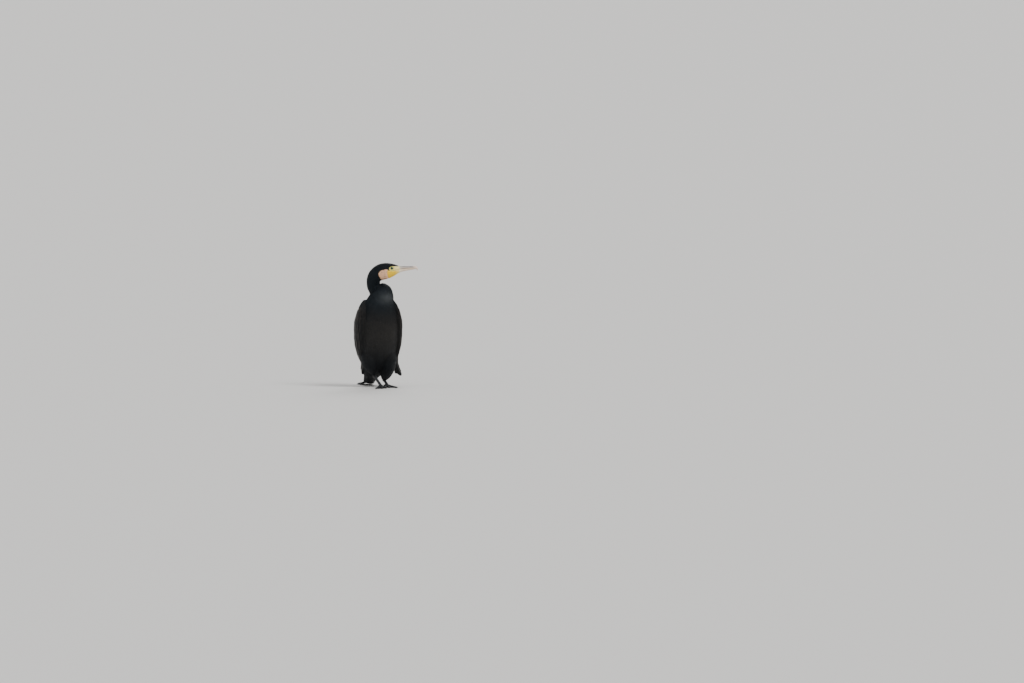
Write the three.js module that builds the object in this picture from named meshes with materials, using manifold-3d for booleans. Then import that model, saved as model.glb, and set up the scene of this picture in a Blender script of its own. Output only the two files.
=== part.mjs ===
// A great cormorant at rest, life size, in millimetres.
// +Z is up, the bird faces -Y and its left side is +X. The floor is z = 0.
// It stands on both feet and on its tail, with the head turned to its left.
import * as THREE from "three";
import { mergeVertices } from "three/addons/utils/BufferGeometryUtils.js";
import Module from "manifold-3d";

const wasm = await Module();
wasm.setup();

// Driving sizes
const gap = 0.3;
const headTurn = 14; // degrees between the head's line and the line across the shoulders
const trunkSides = 26;
const neckSides = 18;
const neckBack = -36; // the neck's middle, ahead of the line between the wings
const eyeRadius = 6;
const toeRadius = 3.6;
const webThickness = 1.3;

const degrees = THREE.MathUtils.degToRad;
const point = (x, y, z) => new THREE.Vector3(x, y, z);
const across = point(1, 0, 0);
const headForward = point(Math.cos(degrees(headTurn)), -Math.sin(degrees(headTurn)), 0);
const headSide = point(Math.sin(degrees(headTurn)), Math.cos(degrees(headTurn)), 0);

// A place given along the head's line, behind it, and up
function turned(along, back, up) {
  return point(0, 0, up).addScaledVector(headForward, along).addScaledVector(headSide, back + neckBack);
}

// Solids

function toSolid(geometry) {
  const bare = geometry.clone();
  bare.deleteAttribute("normal");
  bare.deleteAttribute("uv");
  const merged = mergeVertices(bare, 1e-3);
  const vertProperties = new Float32Array(merged.attributes.position.array);
  const triVerts = new Uint32Array(merged.index.array);
  const solid = new wasm.Manifold(new wasm.Mesh({ numProp: 3, vertProperties, triVerts }));
  if (solid.volume() > 0) return solid;
  for (let i = 0; i < triVerts.length; i += 3) {
    [triVerts[i], triVerts[i + 1]] = [triVerts[i + 1], triVerts[i]];
  }
  return new wasm.Manifold(new wasm.Mesh({ numProp: 3, vertProperties, triVerts }));
}

function toGeometry(solid) {
  const { vertProperties, triVerts } = solid.getMesh();
  const geometry = new THREE.BufferGeometry();
  geometry.setAttribute("position", new THREE.BufferAttribute(new Float32Array(vertProperties), 3));
  geometry.setIndex(new THREE.BufferAttribute(new Uint32Array(triVerts), 1));
  geometry.computeVertexNormals();
  return geometry;
}

function join(solids) {
  return solids.reduce((whole, next) => whole.add(next));
}

// The largest closed piece of a solid, without scraps
function largest(solid) {
  const pieces = solid.decompose().sort((a, b) => b.volume() - a.volume());
  return pieces[0];
}

// The part of a solid on the side of a plane that its normal points to
function beyond(solid, origin, normal, margin) {
  const size = 1200;
  const box = new THREE.BoxGeometry(size, size, size);
  box.translate(0, 0, size / 2 + margin);
  const turn = new THREE.Quaternion().setFromUnitVectors(point(0, 0, 1), normal.clone().normalize());
  box.applyQuaternion(turn);
  box.translate(origin.x, origin.y, origin.z);
  return solid.intersect(toSolid(box));
}

// Lofted forms

// A loft's section at t from 0 to 1 along its stations.
// A station has a centre, a half width, a half height above and below, and the way its width runs.
function section(stations, t) {
  const centres = new THREE.CatmullRomCurve3(stations.map((s) => s.at));
  const sizes = new THREE.CatmullRomCurve3(stations.map((s) => point(s.wide, s.top, s.bottom ?? s.top)));
  const place = Math.min(t * (stations.length - 1), stations.length - 1 - 1e-9);
  const first = Math.floor(place);
  const side = (stations[first].side ?? across)
    .clone()
    .lerp(stations[first + 1].side ?? across, place - first);
  const tangent = centres.getTangent(t);
  side.addScaledVector(tangent, -side.dot(tangent)).normalize();
  const up = new THREE.Vector3().crossVectors(side, tangent);
  return { centre: centres.getPoint(t), side, up, tangent, sizes: sizes.getPoint(t) };
}

// A point on the section at an angle from its upper side, lifted off the surface
function onSection(cut, angle, lift = 0, square = 2) {
  const wide = Math.sin(angle);
  const high = Math.cos(angle);
  const round = (v) => Math.sign(v) * Math.abs(v) ** (2 / square);
  const height = high >= 0 ? cut.sizes.y : cut.sizes.z;
  return cut.centre
    .clone()
    .addScaledVector(cut.side, round(wide) * (cut.sizes.x + lift))
    .addScaledVector(cut.up, round(high) * (height + lift));
}

// A closed mesh from rings of points, with each quarter's faces split alike above and below
function ringMesh(rings, start, end) {
  const sides = rings[0].length;
  const positions = [...rings.flat(), start, end].flatMap((p) => p.toArray());
  const startIndex = rings.length * sides;
  const index = [];
  for (let row = 0; row < rings.length - 1; row++) {
    for (let i = 0; i < sides; i++) {
      const next = (i + 1) % sides;
      const a = row * sides + i;
      const b = row * sides + next;
      const c = a + sides;
      const d = b + sides;
      const even = Math.floor((i * 4) / sides) % 2 === 0;
      if (even) index.push(a, c, d, a, d, b);
      else index.push(a, c, b, b, c, d);
    }
  }
  const last = (rings.length - 1) * sides;
  for (let i = 0; i < sides; i++) {
    const next = (i + 1) % sides;
    index.push(startIndex, i, next, startIndex + 1, last + next, last + i);
  }
  const geometry = new THREE.BufferGeometry();
  geometry.setAttribute("position", new THREE.Float32BufferAttribute(positions, 3));
  geometry.setIndex(index);
  return geometry;
}

function loft(stations, sides, steps, { lift = 0, square = 2 } = {}) {
  const cuts = [];
  for (let row = 0; row <= steps; row++) cuts.push(section(stations, row / steps));
  cuts[0].centre.addScaledVector(cuts[0].tangent, -lift);
  cuts[steps].centre.addScaledVector(cuts[steps].tangent, lift);
  const angles = Array.from({ length: sides }, (_, i) => (2 * Math.PI * i) / sides);
  const rings = cuts.map((cut) => angles.map((angle) => onSection(cut, angle, lift, square)));
  return toSolid(ringMesh(rings, cuts[0].centre, cuts[steps].centre));
}

// Trunk

const trunkStations = [
  { at: point(2, -42, 344), wide: 16, top: 16, bottom: 12 },
  { at: point(-5, -46, 330), wide: 37, top: 40, bottom: 33 },
  { at: point(-7, -46, 306), wide: 55, top: 51, bottom: 47 },
  { at: point(-7, -41, 268), wide: 66, top: 60, bottom: 57 },
  { at: point(-5, -28, 230), wide: 73, top: 64, bottom: 63 },
  { at: point(-3, -11, 190), wide: 74, top: 66, bottom: 63 },
  { at: point(0, 9, 150), wide: 71.5, top: 63, bottom: 59 },
  { at: point(0.5, 32, 112), wide: 61, top: 55, bottom: 50 },
  { at: point(1, 58, 80), wide: 48, top: 43, bottom: 38 },
  { at: point(0, 84, 55), wide: 39, top: 29, bottom: 26 },
  { at: point(0, 104, 39), wide: 30, top: 17, bottom: 17 },
];
const trunk = loft(trunkStations, trunkSides, 20);

// Neck and head

const throatStations = [
  { at: turned(6, 2, 287), wide: 50, top: 48 },
  { at: turned(12, -8, 313), wide: 45, top: 43 },
  { at: turned(17, -18, 335), wide: 39.5, top: 38 },
  { at: turned(19, -22, 353), wide: 32, top: 31 },
  { at: turned(17, -20, 367), wide: 22, top: 21 },
  { at: turned(15, -18, 377), wide: 9, top: 9 },
  { at: turned(15, -18, 381), wide: 1.5, top: 1.5 },
];
const napeStations = [
  { at: turned(10, -4, 296), wide: 24, top: 24 },
  { at: turned(1, 8, 325), wide: 28, top: 27.5 },
  { at: turned(-6, 8, 342), wide: 25.5, top: 25.5 },
  { at: turned(-14, 4, 361), wide: 24.3, top: 24.3, bottom: 25.3, side: headSide },
  { at: turned(-17.5, -1, 380), wide: 23.5, top: 24, bottom: 25.2, side: headSide },
  { at: turned(-13.5, -6, 397), wide: 23.5, top: 24.5, bottom: 27, side: headSide },
  { at: turned(-2.5, -10, 410), wide: 23, top: 26.5, bottom: 29.3, side: headSide },
  { at: turned(14, -12.5, 417.5), wide: 21.5, top: 28.5, bottom: 32.3, side: headSide },
  { at: turned(32, -13, 423), wide: 19.5, top: 29, bottom: 29.4, side: headSide },
  { at: turned(49, -13, 426), wide: 17.3, top: 24.5, side: headSide },
  { at: turned(62, -13, 427.8), wide: 13.8, top: 19, side: headSide },
  { at: turned(76, -13, 429), wide: 9.5, top: 12.5, side: headSide },
  { at: turned(80, -13, 429.4), wide: 8.8, top: 11.6, side: headSide },
];
const throat = loft(throatStations, neckSides, 12);
const napeToBill = loft(napeStations, neckSides, 24);

// The same forms a gap larger, to cut clear what lies on them
const aside = { lift: gap + 0.1 };
const throatClearance = loft(throatStations, neckSides, 12, aside);
const bodyClearance = join([
  loft(trunkStations, trunkSides, 20, aside),
  throatClearance,
  loft(napeStations, neckSides, 24, aside),
]);

// Thin cuts part the flesh into torso, lower neck, upper neck and head
const collar = { at: turned(8, 0, 318), normal: point(0, -0.25, 1) };
const nape = { at: turned(-3, -12, 407), normal: turned(0.777, -neckBack, 0.629) };
const cutBefore = (solid, cut) => beyond(solid, cut.at, cut.normal.clone().negate(), gap / 2);
const cutAfter = (solid, cut) => beyond(solid, cut.at, cut.normal, gap / 2);

const napeFoot = { at: turned(-8, 8, 340), normal: point(0, 0, 1) };
const front = trunk.add(throat);
const torso = largest(cutBefore(front.add(napeToBill), collar));
const neckLower = largest(cutAfter(front.add(cutBefore(napeToBill, napeFoot)), collar));
const frontClearance = loft(trunkStations, trunkSides, 20, aside).add(throatClearance);
const raised = neckLower.translate(headSide.clone().multiplyScalar(gap).setZ(0.9 * gap).toArray());
const neckBehind = cutAfter(napeToBill, napeFoot).subtract(frontClearance).subtract(raised);
const neckUpper = largest(cutBefore(neckBehind, nape));
const billCut = { at: turned(76, -13, 429), normal: headForward };
let head = largest(cutBefore(cutAfter(neckBehind, nape), billCut));

// Eyes and lids

// The head's middle plane, which the eyes lie either side of
const eyePlace = { along: 49, up: 432.5, out: 11.2 };
const lidRing = 5.4; // from the eye's middle to the middle of its rim
const lidThick = 1.4;

function eyeMiddle(sign) {
  return turned(eyePlace.along, -13 + sign * eyePlace.out, eyePlace.up);
}

function eyeball(sign, radius) {
  const ball = new THREE.SphereGeometry(radius, 12, 7);
  const middle = eyeMiddle(sign);
  ball.translate(middle.x, middle.y, middle.z);
  return toSolid(ball);
}

function lids(sign) {
  const ring = new THREE.TorusGeometry(lidRing, lidThick, 5, 14);
  const look = headSide.clone().multiplyScalar(sign);
  ring.applyQuaternion(new THREE.Quaternion().setFromUnitVectors(point(0, 0, 1), look));
  const middle = eyeMiddle(sign).addScaledVector(look, 4.6);
  ring.translate(middle.x, middle.y, middle.z);
  return toSolid(ring);
}

// The line of the mouth runs back from the bill's base to below and behind the eye
function mouthLine(along) {
  return 428.6 + (along - 76) * 0.17 - Math.max(0, 60 - along) * 0.1;
}

function mouthGroove(sign) {
  const stations = [];
  for (let along = 44; along <= 80; along += 6) {
    const reach = 17.6 - Math.max(0, along - 46) * 0.27;
    stations.push({
      at: turned(along, -13 + sign * reach, mouthLine(along)),
      wide: 1.6,
      top: 0.45,
      side: headSide,
    });
  }
  return loft(stations, 4, 6);
}

for (const sign of [-1, 1]) {
  head = head.add(lids(sign)).subtract(eyeball(sign, eyeRadius + gap)).subtract(mouthGroove(sign));
}
head = largest(head);

// Bill

const billBase = 74;
const upperBillStations = [
  { at: turned(billBase, -13, 431.6), wide: 8.8, top: 9.2, bottom: 3 },
  { at: turned(84, -13, 432.6), wide: 7.1, top: 7.5, bottom: 2.7 },
  { at: turned(97, -13, 433.2), wide: 5.7, top: 6.4, bottom: 2.5 },
  { at: turned(112, -13, 433.7), wide: 5, top: 5.8, bottom: 2.3 },
  { at: turned(126, -13, 434.3), wide: 4.6, top: 5.8, bottom: 2.2 },
  { at: turned(134.5, -13, 434), wide: 4, top: 5.6, bottom: 2.6 },
  { at: turned(139, -13, 431.2), wide: 2.9, top: 3.4, bottom: 2.5 },
  { at: turned(140.8, -13, 426.8), wide: 1.6, top: 1.5, bottom: 1.7 },
  { at: turned(140, -13, 423.4), wide: 0.5, top: 0.5, bottom: 0.5 },
].map((s) => ({ ...s, side: headSide.clone().negate() }));
const lowerBillStations = [
  { at: turned(billBase, -13, 425.4), wide: 8.4, top: 2.6, bottom: 8.8 },
  { at: turned(86, -13, 427.4), wide: 6.6, top: 2.3, bottom: 7.6 },
  { at: turned(98, -13, 428.9), wide: 5.2, top: 2, bottom: 6.3 },
  { at: turned(114, -13, 430.3), wide: 4.4, top: 1.8, bottom: 4.7 },
  { at: turned(128, -13, 431), wide: 3.8, top: 1.6, bottom: 3.3 },
  { at: turned(134.5, -13, 431.4), wide: 2.2, top: 1.2, bottom: 1.5 },
].map((s) => ({ ...s, side: headSide.clone().negate() }));

// A long shallow groove runs along each side of the upper bill in place of open nostrils
function billGroove(sign) {
  return loft(
    [
      { at: turned(77, -13 + sign * 8.6, 435), wide: 1.2, top: 0.6, side: headSide },
      { at: turned(97, -13 + sign * 5.9, 435.6), wide: 1.2, top: 0.6, side: headSide },
      { at: turned(125, -13 + sign * 4.8, 436.4), wide: 1, top: 0.5, side: headSide },
    ],
    4,
    6,
  );
}

const lowerBill = cutAfter(loft(lowerBillStations, 10, 8, { square: 2.2 }), billCut);
const lowerClearance = loft(lowerBillStations, 10, 8, { square: 2.2, lift: gap });
const wholeUpperBill = cutAfter(loft(upperBillStations, 12, 14, { square: 2.1 }), billCut);
const upperBill = wholeUpperBill.subtract(lowerClearance).subtract(billGroove(-1)).subtract(billGroove(1));

// Wings

// The folded wing lies on this form, which follows the trunk and runs on past the rump
const wingStations = [
  { at: point(-10, -46, 319), wide: 49.5, top: 48, bottom: 45 },
  { at: point(-8.5, -42, 276), wide: 65, top: 60, bottom: 58 },
  { at: point(-6.5, -28, 230), wide: 76, top: 66, bottom: 64 },
  { at: point(-3, -11, 190), wide: 76.5, top: 67, bottom: 64 },
  { at: point(1, 9, 150), wide: 74, top: 65, bottom: 60 },
  { at: point(1.5, 32, 112), wide: 62.5, top: 58, bottom: 53 },
  { at: point(2, 56, 80), wide: 48, top: 50, bottom: 44 },
  { at: point(0, 82, 52), wide: 46, top: 44, bottom: 38 },
  { at: point(0, 108, 26), wide: 38, top: 37, bottom: 30 },
];
const wingLength = wingStations.length - 1;

// How far each wing's tip stands out from the body
const flare = { left: point(63, -6, -7), right: point(9, 0, 0) };

// A point on the wing's form: station number, angle from the back's middle in degrees, and lift
function onWing(hand, station, angle, lift) {
  const place = THREE.MathUtils.clamp(station / wingLength, 0, 1);
  const spot = onSection(section(wingStations, place), degrees(hand === "right" ? -angle : angle), lift);
  const out = THREE.MathUtils.smoothstep(station, 4.1, wingLength);
  const front = THREE.MathUtils.clamp((angle - 40) / 40, 0, 1);
  return spot.addScaledVector(flare[hand], out * (0.6 + 0.4 * front));
}

// A closed sheet over a grid, from its lower and upper faces
function sheet(rows, columns, place) {
  const rings = [];
  for (let row = 0; row <= rows; row++) {
    const upper = [];
    const lower = [];
    for (let column = 0; column <= columns; column++) {
      upper.push(place(row / rows, column / columns, true));
      lower.push(place(row / rows, column / columns, false));
    }
    rings.push([...upper, ...lower.reverse()]);
  }
  const positions = rings.flat().flatMap((p) => p.toArray());
  const sides = rings[0].length;
  const half = columns + 1;
  const index = [];
  for (let row = 0; row < rows; row++) {
    for (let i = 0; i < sides; i++) {
      const next = (i + 1) % sides;
      const a = row * sides + i;
      const b = row * sides + next;
      if (i < half) index.push(a, a + sides, b + sides, a, b + sides, b);
      else index.push(a, a + sides, b, b, a + sides, b + sides);
    }
  }
  for (let i = 0; i < columns; i++) {
    for (const [row, flip] of [
      [0, false],
      [rows, true],
    ]) {
      const a = row * sides + i;
      const b = a + 1;
      const c = row * sides + sides - 1 - i;
      const d = c - 1;
      if (flip) index.push(a, c, b, b, c, d);
      else index.push(a, b, c, b, d, c);
    }
  }
  const geometry = new THREE.BufferGeometry();
  geometry.setAttribute("position", new THREE.Float32BufferAttribute(positions, 3));
  geometry.setIndex(index);
  return toSolid(geometry);
}

// The wing's outline on its form: the angles of its back and front edges at each station
const wingOutline = [
  { station: 0.1, back: 50, front: 88 },
  { station: 0.8, back: 22, front: 108 },
  { station: 2, back: 12, front: 114 },
  { station: 3.4, back: 10, front: 112 },
  { station: 4.8, back: 14, front: 106 },
  { station: 6, back: 24, front: 98 },
  { station: 7, back: 32, front: 90 },
  { station: 7.7, back: 40, front: 82 },
];
const outlineCurve = new THREE.CatmullRomCurve3(wingOutline.map((s) => point(s.station, s.back, s.front)));
const wingThick = 9.5; // over the forearm, thinning to the edges and the tip

// How thick the wing is at a share of its length and of its breadth from the back edge
function wingDepth(along, over) {
  const crown = 1 - (2 * over - 1) ** 4;
  return 2 + (wingThick * crown * (1 - along) ** 0.7 + 2) * Math.min(1, along * 4 + 0.3);
}

function onOutline(hand, along, over, lift) {
  const { x: station, y: back, z: front } = outlineCurve.getPoint(Math.min(along, 1));
  return onWing(hand, station, back + (front - back) * over, lift);
}

// The arm and hand under the feathers
const coreReach = 0.64;

function wingCore(hand) {
  return sheet(7, 4, (share, over, upper) => {
    const along = share * coreReach;
    return onOutline(hand, along, over, upper ? wingDepth(along, over) - 0.6 : -3);
  });
}

// Feathers

// A vane is a thin diamond along its shaft, widest past its middle, with a rounded tip
const vaneRows = [
  { at: 0, wide: 0.6, thick: 1 },
  { at: 0.3, wide: 0.92, thick: 1 },
  { at: 0.76, wide: 1, thick: 0.9 },
  { at: 0.93, wide: 0.66, thick: 0.8 },
  { at: 1, wide: 0.14, thick: 0.6 },
];
const emerges = 0.26; // the share of the shaft that is sunk in what it grows from

// The frame at a share of the shaft holds its place, the way across and the way up
function vane(frameAt, halfWidth, thick, roll) {
  const rings = vaneRows.map((row) => {
    const { at, over, up } = frameAt(row.at);
    const half = halfWidth * row.wide;
    const high = (thick / 2) * row.thick;
    const turn = roll * row.wide;
    return [
      at.clone().addScaledVector(up, high),
      at.clone().addScaledVector(over, half).addScaledVector(up, -turn),
      at.clone().addScaledVector(up, -high),
      at.clone().addScaledVector(over, -half).addScaledVector(up, turn),
    ];
  });
  return toSolid(ringMesh(rings, frameAt(0).at, frameAt(1).at));
}

// The folded wing's tiers, each from its front feather to its back one.
// Roots and tips are given as shares of the wing's length and of its breadth from the back edge.
const tiers = {
  primaries: {
    count: 5,
    root: [0.56, 0.56, 0.86, 0.5],
    tip: [0.97, 1, 0.95, 0.5],
    bulge: 0,
    wide: 15,
    rise: [-4, -2.4, -0.6],
  },
  secondaries: {
    count: 6,
    root: [0.5, 0.42, 0.92, 0.14],
    tip: [0.85, 0.7, 0.74, 0.06],
    bulge: 0.1,
    wide: 20,
    rise: [-4, 0, 1.2],
  },
  greater: {
    count: 6,
    root: [0.36, 0.34, 0.94, 0.1],
    tip: [0.61, 0.56, 0.95, 0.07],
    bulge: 0.03,
    wide: 24,
    rise: [-4, 0.3, 1.6],
  },
  median: {
    count: 5,
    root: [0.235, 0.235, 0.93, 0.1],
    tip: [0.44, 0.42, 0.94, 0.09],
    bulge: 0.02,
    wide: 31,
    rise: [-4, 0.3, 1.6],
  },
  lesser: {
    count: 5,
    root: [0.1, 0.1, 0.93, 0.1],
    tip: [0.3, 0.28, 0.94, 0.09],
    bulge: 0.02,
    wide: 32,
    rise: [-4, 0.3, 1.6],
  },
  marginal: {
    count: 4,
    root: [0, 0, 0.9, 0.14],
    tip: [0.16, 0.15, 0.92, 0.12],
    bulge: 0.02,
    wide: 32,
    rise: [-3, 0.3, 1.6],
  },
  scapulars: {
    count: 4,
    root: [0.12, 0.5, 0.2, 0.2],
    tip: [0.32, 0.74, 0.05, 0.1],
    bulge: 0,
    wide: 21,
    rise: [-2.5, 1.6, 2.8],
  },
};

function wingVane(hand, tier, share) {
  const { lerp } = THREE.MathUtils;
  const bulge = Math.sin(Math.PI * share) * tier.bulge;
  const [sunk, out, end] = tier.rise;
  const root = {
    along: lerp(tier.root[0], tier.root[1], share),
    over: lerp(tier.root[2], tier.root[3], share),
  };
  const tip = {
    along: lerp(tier.tip[0], tier.tip[1], share) + bulge,
    over: lerp(tier.tip[2], tier.tip[3], share),
  };
  const place = (t, aside, lift) => {
    const along = lerp(root.along, tip.along, t);
    const over = lerp(root.over, tip.over, t);
    const rise = t < emerges ? lerp(sunk, out, t / emerges) : lerp(out, end, (t - emerges) / (1 - emerges));
    return onOutline(hand, along, over + aside, wingDepth(along, over) + rise + lift);
  };
  const frameAt = (t) => {
    const at = place(t, 0, 0);
    const way = place(Math.min(t + 0.03, 1), 0, 0).sub(place(Math.max(t - 0.03, 0), 0, 0)).normalize();
    const over = place(t, 0.02, 0).sub(place(t, -0.02, 0));
    over.addScaledVector(way, -over.dot(way)).normalize();
    const up = new THREE.Vector3().crossVectors(way, over).normalize();
    if (up.dot(place(t, 0, 1).sub(at)) < 0) up.negate();
    return { at, over, up };
  };
  return vane(frameAt, tier.wide / 2, 1.1, 0.9);
}

function featheredWing(hand) {
  const pieces = [wingCore(hand)];
  for (const tier of Object.values(tiers)) {
    for (let i = 0; i < tier.count; i++) pieces.push(wingVane(hand, tier, i / (tier.count - 1)));
  }
  return join(pieces);
}

// Tail

// The tail's middle line: down from the rump, then along the floor
const tailLine = new THREE.CatmullRomCurve3([
  point(0, 96, 42),
  point(0, 118, 30),
  point(0, 150, 15),
  point(0, 190, 6),
  point(0, 226, 3.6),
  point(0, 262, 3.2),
]);

// The tail's feathers fan a little, the middle pair longest and on top
const tailPairs = 7;
const tailFan = 1; // degrees between neighbours
const tailStep = 0.85; // how much lower each lies than its inner neighbour

function tailVane(side, rank) {
  const turn = degrees(side * (rank + 0.5) * tailFan);
  const length = 1 - 0.17 * (rank / (tailPairs - 1)) ** 1.7;
  const frameAt = (t) => {
    const middle = tailLine.getPoint(0.12 + (length - 0.12) * t);
    const x = side * (rank + 0.5) * 1.6 + (middle.y - 108) * Math.tan(turn);
    const up = middle.z + 2.3 - rank * tailStep + (side > 0 ? 0.4 : 0);
    return { at: point(x, middle.y, up), over: point(1, 0, 0), up: point(0, 0, 1) };
  };
  return vane(frameAt, 7.6, 0.8, 0);
}

function featheredTail() {
  const pieces = [tailRoot()];
  for (const side of [-1, 1]) {
    for (let rank = 0; rank < tailPairs; rank++) pieces.push(tailVane(side, rank));
  }
  return join(pieces);
}

// The root of the tail meets the trunk's end face to face
const rumpCut = section(trunkStations, 1);
const rumpNormal = new THREE.Vector3().crossVectors(rumpCut.up, rumpCut.side);

function tailRoot() {
  return loft(
    [
      { at: rumpCut.centre.clone(), wide: 29.6, top: 16.6, bottom: 16.6 },
      { at: point(0, 118, 31), wide: 27, top: 12, bottom: 13 },
      { at: point(0, 138, 20), wide: 24, top: 8, bottom: 9 },
      { at: point(0, 158, 13), wide: 19, top: 4, bottom: 5 },
      { at: point(0, 178, 9), wide: 10, top: 1.2, bottom: 1.2 },
    ],
    16,
    6,
  );
}

// Legs

const legs = {
  right: {
    thigh: [
      { at: point(-30, -6, 150), wide: 16, top: 18 },
      { at: point(-36, 0, 112), wide: 29, top: 32, bottom: 32 },
      { at: point(-30, 10, 84), wide: 27, top: 32, bottom: 28 },
      { at: point(-19, 26, 62), wide: 16, top: 20, bottom: 19 },
      { at: point(-10, 36, 44), wide: 7.5, top: 9.5, bottom: 9 },
    ],
    ankle: point(-7, 40, 40),
    foot: point(3, -20, 9),
    heading: -8,
    hind: -158,
    mirror: -1,
  },
  left: {
    thigh: [
      { at: point(30, -6, 150), wide: 16, top: 18 },
      { at: point(40, 2, 108), wide: 28, top: 32, bottom: 32 },
      { at: point(41, 20, 74), wide: 26, top: 32, bottom: 29 },
      { at: point(38, 42, 46), wide: 21, top: 23, bottom: 21 },
      { at: point(36, 60, 28), wide: 12, top: 11, bottom: 10 },
    ],
    ankle: point(35, 68, 25),
    foot: point(38, 28, 9),
    heading: -5,
    hind: -130,
    mirror: 1,
  },
};

function shank(leg, lift = 0) {
  const { ankle, foot } = leg;
  const at = (share) => ankle.clone().lerp(foot, share);
  return loft(
    [
      { at: at(-0.1), wide: 4, top: 5, bottom: 5 },
      { at: at(0.04), wide: 5, top: 7, bottom: 7 },
      { at: at(0.2), wide: 3.8, top: 5.6, bottom: 5.6 },
      { at: at(0.6), wide: 3.6, top: 5.2, bottom: 5.2 },
      { at: at(0.86), wide: 4.2, top: 5.4, bottom: 5.4 },
    ],
    8,
    8,
    { lift },
  );
}

// Toes from the inside out: angle from the foot's heading, length, and number of joints.
// The hind toe's angle is the foot's own.
const toes = [
  { name: "hind", length: 24, joints: 1 },
  { name: "inner", angle: -17, length: 52, joints: 2 },
  { name: "middle", angle: 0, length: 72, joints: 3 },
  { name: "outer", angle: 16, length: 86, joints: 4 },
];
const clawLength = 11;
const webHollows = [0.55, 0.14, 0.12]; // how far each web's edge curves in towards the foot

function toeDirection(leg, toe) {
  const turn = degrees(leg.heading + leg.mirror * (toe.angle ?? leg.hind));
  return point(Math.sin(turn), -Math.cos(turn), 0);
}

function toeSolid(leg, toe) {
  const way = toeDirection(leg, toe);
  const stations = [];
  const steps = toe.joints * 2 + 1;
  for (let i = 0; i <= steps; i++) {
    const share = i / steps;
    const knuckle = i % 2 === 0 ? 0.5 : 0;
    const radius = toeRadius * (1.12 - 0.34 * share) + knuckle;
    const height = radius * 0.86 + 5.4 * (1 - share) ** 3;
    stations.push({
      at: point(leg.foot.x, leg.foot.y, 0).addScaledVector(way, share * toe.length).setZ(height),
      wide: radius,
      top: radius,
      side: point(-way.y, way.x, 0),
    });
  }
  return loft(stations, 6, steps);
}

function toeTip(leg, toe) {
  return point(leg.foot.x, leg.foot.y, 0).addScaledVector(toeDirection(leg, toe), toe.length);
}

// The web between two toes is a thin plate with a hollow front edge
function web(leg, first, second, hollow) {
  const base = new THREE.Vector2(leg.foot.x, leg.foot.y);
  const tips = [first, second].map((toe) => {
    const way = toeDirection(leg, toe);
    return new THREE.Vector2(way.x, way.y).multiplyScalar(toe.length * 0.93).add(base);
  });
  const middle = tips[0].clone().add(tips[1]).multiplyScalar(0.5).lerp(base, hollow);
  const edge = new THREE.QuadraticBezierCurve(tips[0], middle, tips[1]).getPoints(4);
  const plate = new THREE.ExtrudeGeometry(new THREE.Shape([base, ...edge]), {
    depth: webThickness,
    bevelEnabled: false,
  });
  plate.translate(0, 0, 0.5);
  return toSolid(plate);
}

function footSolid(leg) {
  const pieces = toes.map((toe) => toeSolid(leg, toe));
  webHollows.forEach((hollow, i) => pieces.push(web(leg, toes[i], toes[i + 1], hollow)));
  const instep = loft(
    [
      { at: leg.foot.clone().lerp(leg.ankle, 0.16), wide: 4.6, top: 5.8, bottom: 5.8 },
      { at: leg.foot.clone().lerp(leg.ankle, 0.02), wide: 5.6, top: 6.4, bottom: 6.4 },
      { at: leg.foot.clone().lerp(leg.ankle, -0.06).setZ(5.5), wide: 5.6, top: 5.4, bottom: 5 },
    ],
    8,
    4,
  );
  const foot = join([...pieces, instep]);
  return largest(beyond(foot, point(0, 0, 0), point(0, 0, 1), 0));
}

function claw(leg, toe) {
  const way = toeDirection(leg, toe);
  const tip = toeTip(leg, toe);
  const side = point(-way.y, way.x, 0);
  const place = (along, up) => tip.clone().addScaledVector(way, along).setZ(up);
  const solid = loft(
    [
      { at: place(2 * gap, 2.7), wide: 2, top: 2.1, bottom: 2, side },
      { at: place(clawLength * 0.4, 3.1), wide: 1.5, top: 1.8, bottom: 1.7, side },
      { at: place(clawLength * 0.75, 2.6), wide: 0.9, top: 1.2, bottom: 1.2, side },
      { at: place(clawLength, 1), wide: 0.3, top: 0.35, bottom: 0.35, side },
    ],
    6,
    4,
  );
  return largest(beyond(solid, point(0, 0, 0), point(0, 0, 1), 0));
}

// Assembly, each node cleared of the ones it meets

const materials = {
  plumage: new THREE.MeshStandardMaterial({ color: 0x14161a, roughness: 0.55, metalness: 0 }),
  wing: new THREE.MeshStandardMaterial({ color: 0x23211f, roughness: 0.5, metalness: 0 }),
  face: new THREE.MeshStandardMaterial({ color: 0xe2c14a, roughness: 0.5, metalness: 0 }),
  bill: new THREE.MeshStandardMaterial({ color: 0xd8cdbf, roughness: 0.4, metalness: 0 }),
  eye: new THREE.MeshStandardMaterial({ color: 0x2a6b52, roughness: 0.08, metalness: 0 }),
  foot: new THREE.MeshStandardMaterial({ color: 0x26282a, roughness: 0.6, metalness: 0 }),
  claw: new THREE.MeshStandardMaterial({ color: 0x1b1a19, roughness: 0.35, metalness: 0 }),
};
const bird = new THREE.Group();

function add(name, solid, material) {
  const mesh = new THREE.Mesh(toGeometry(solid), material);
  mesh.name = name;
  bird.add(mesh);
}

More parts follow.
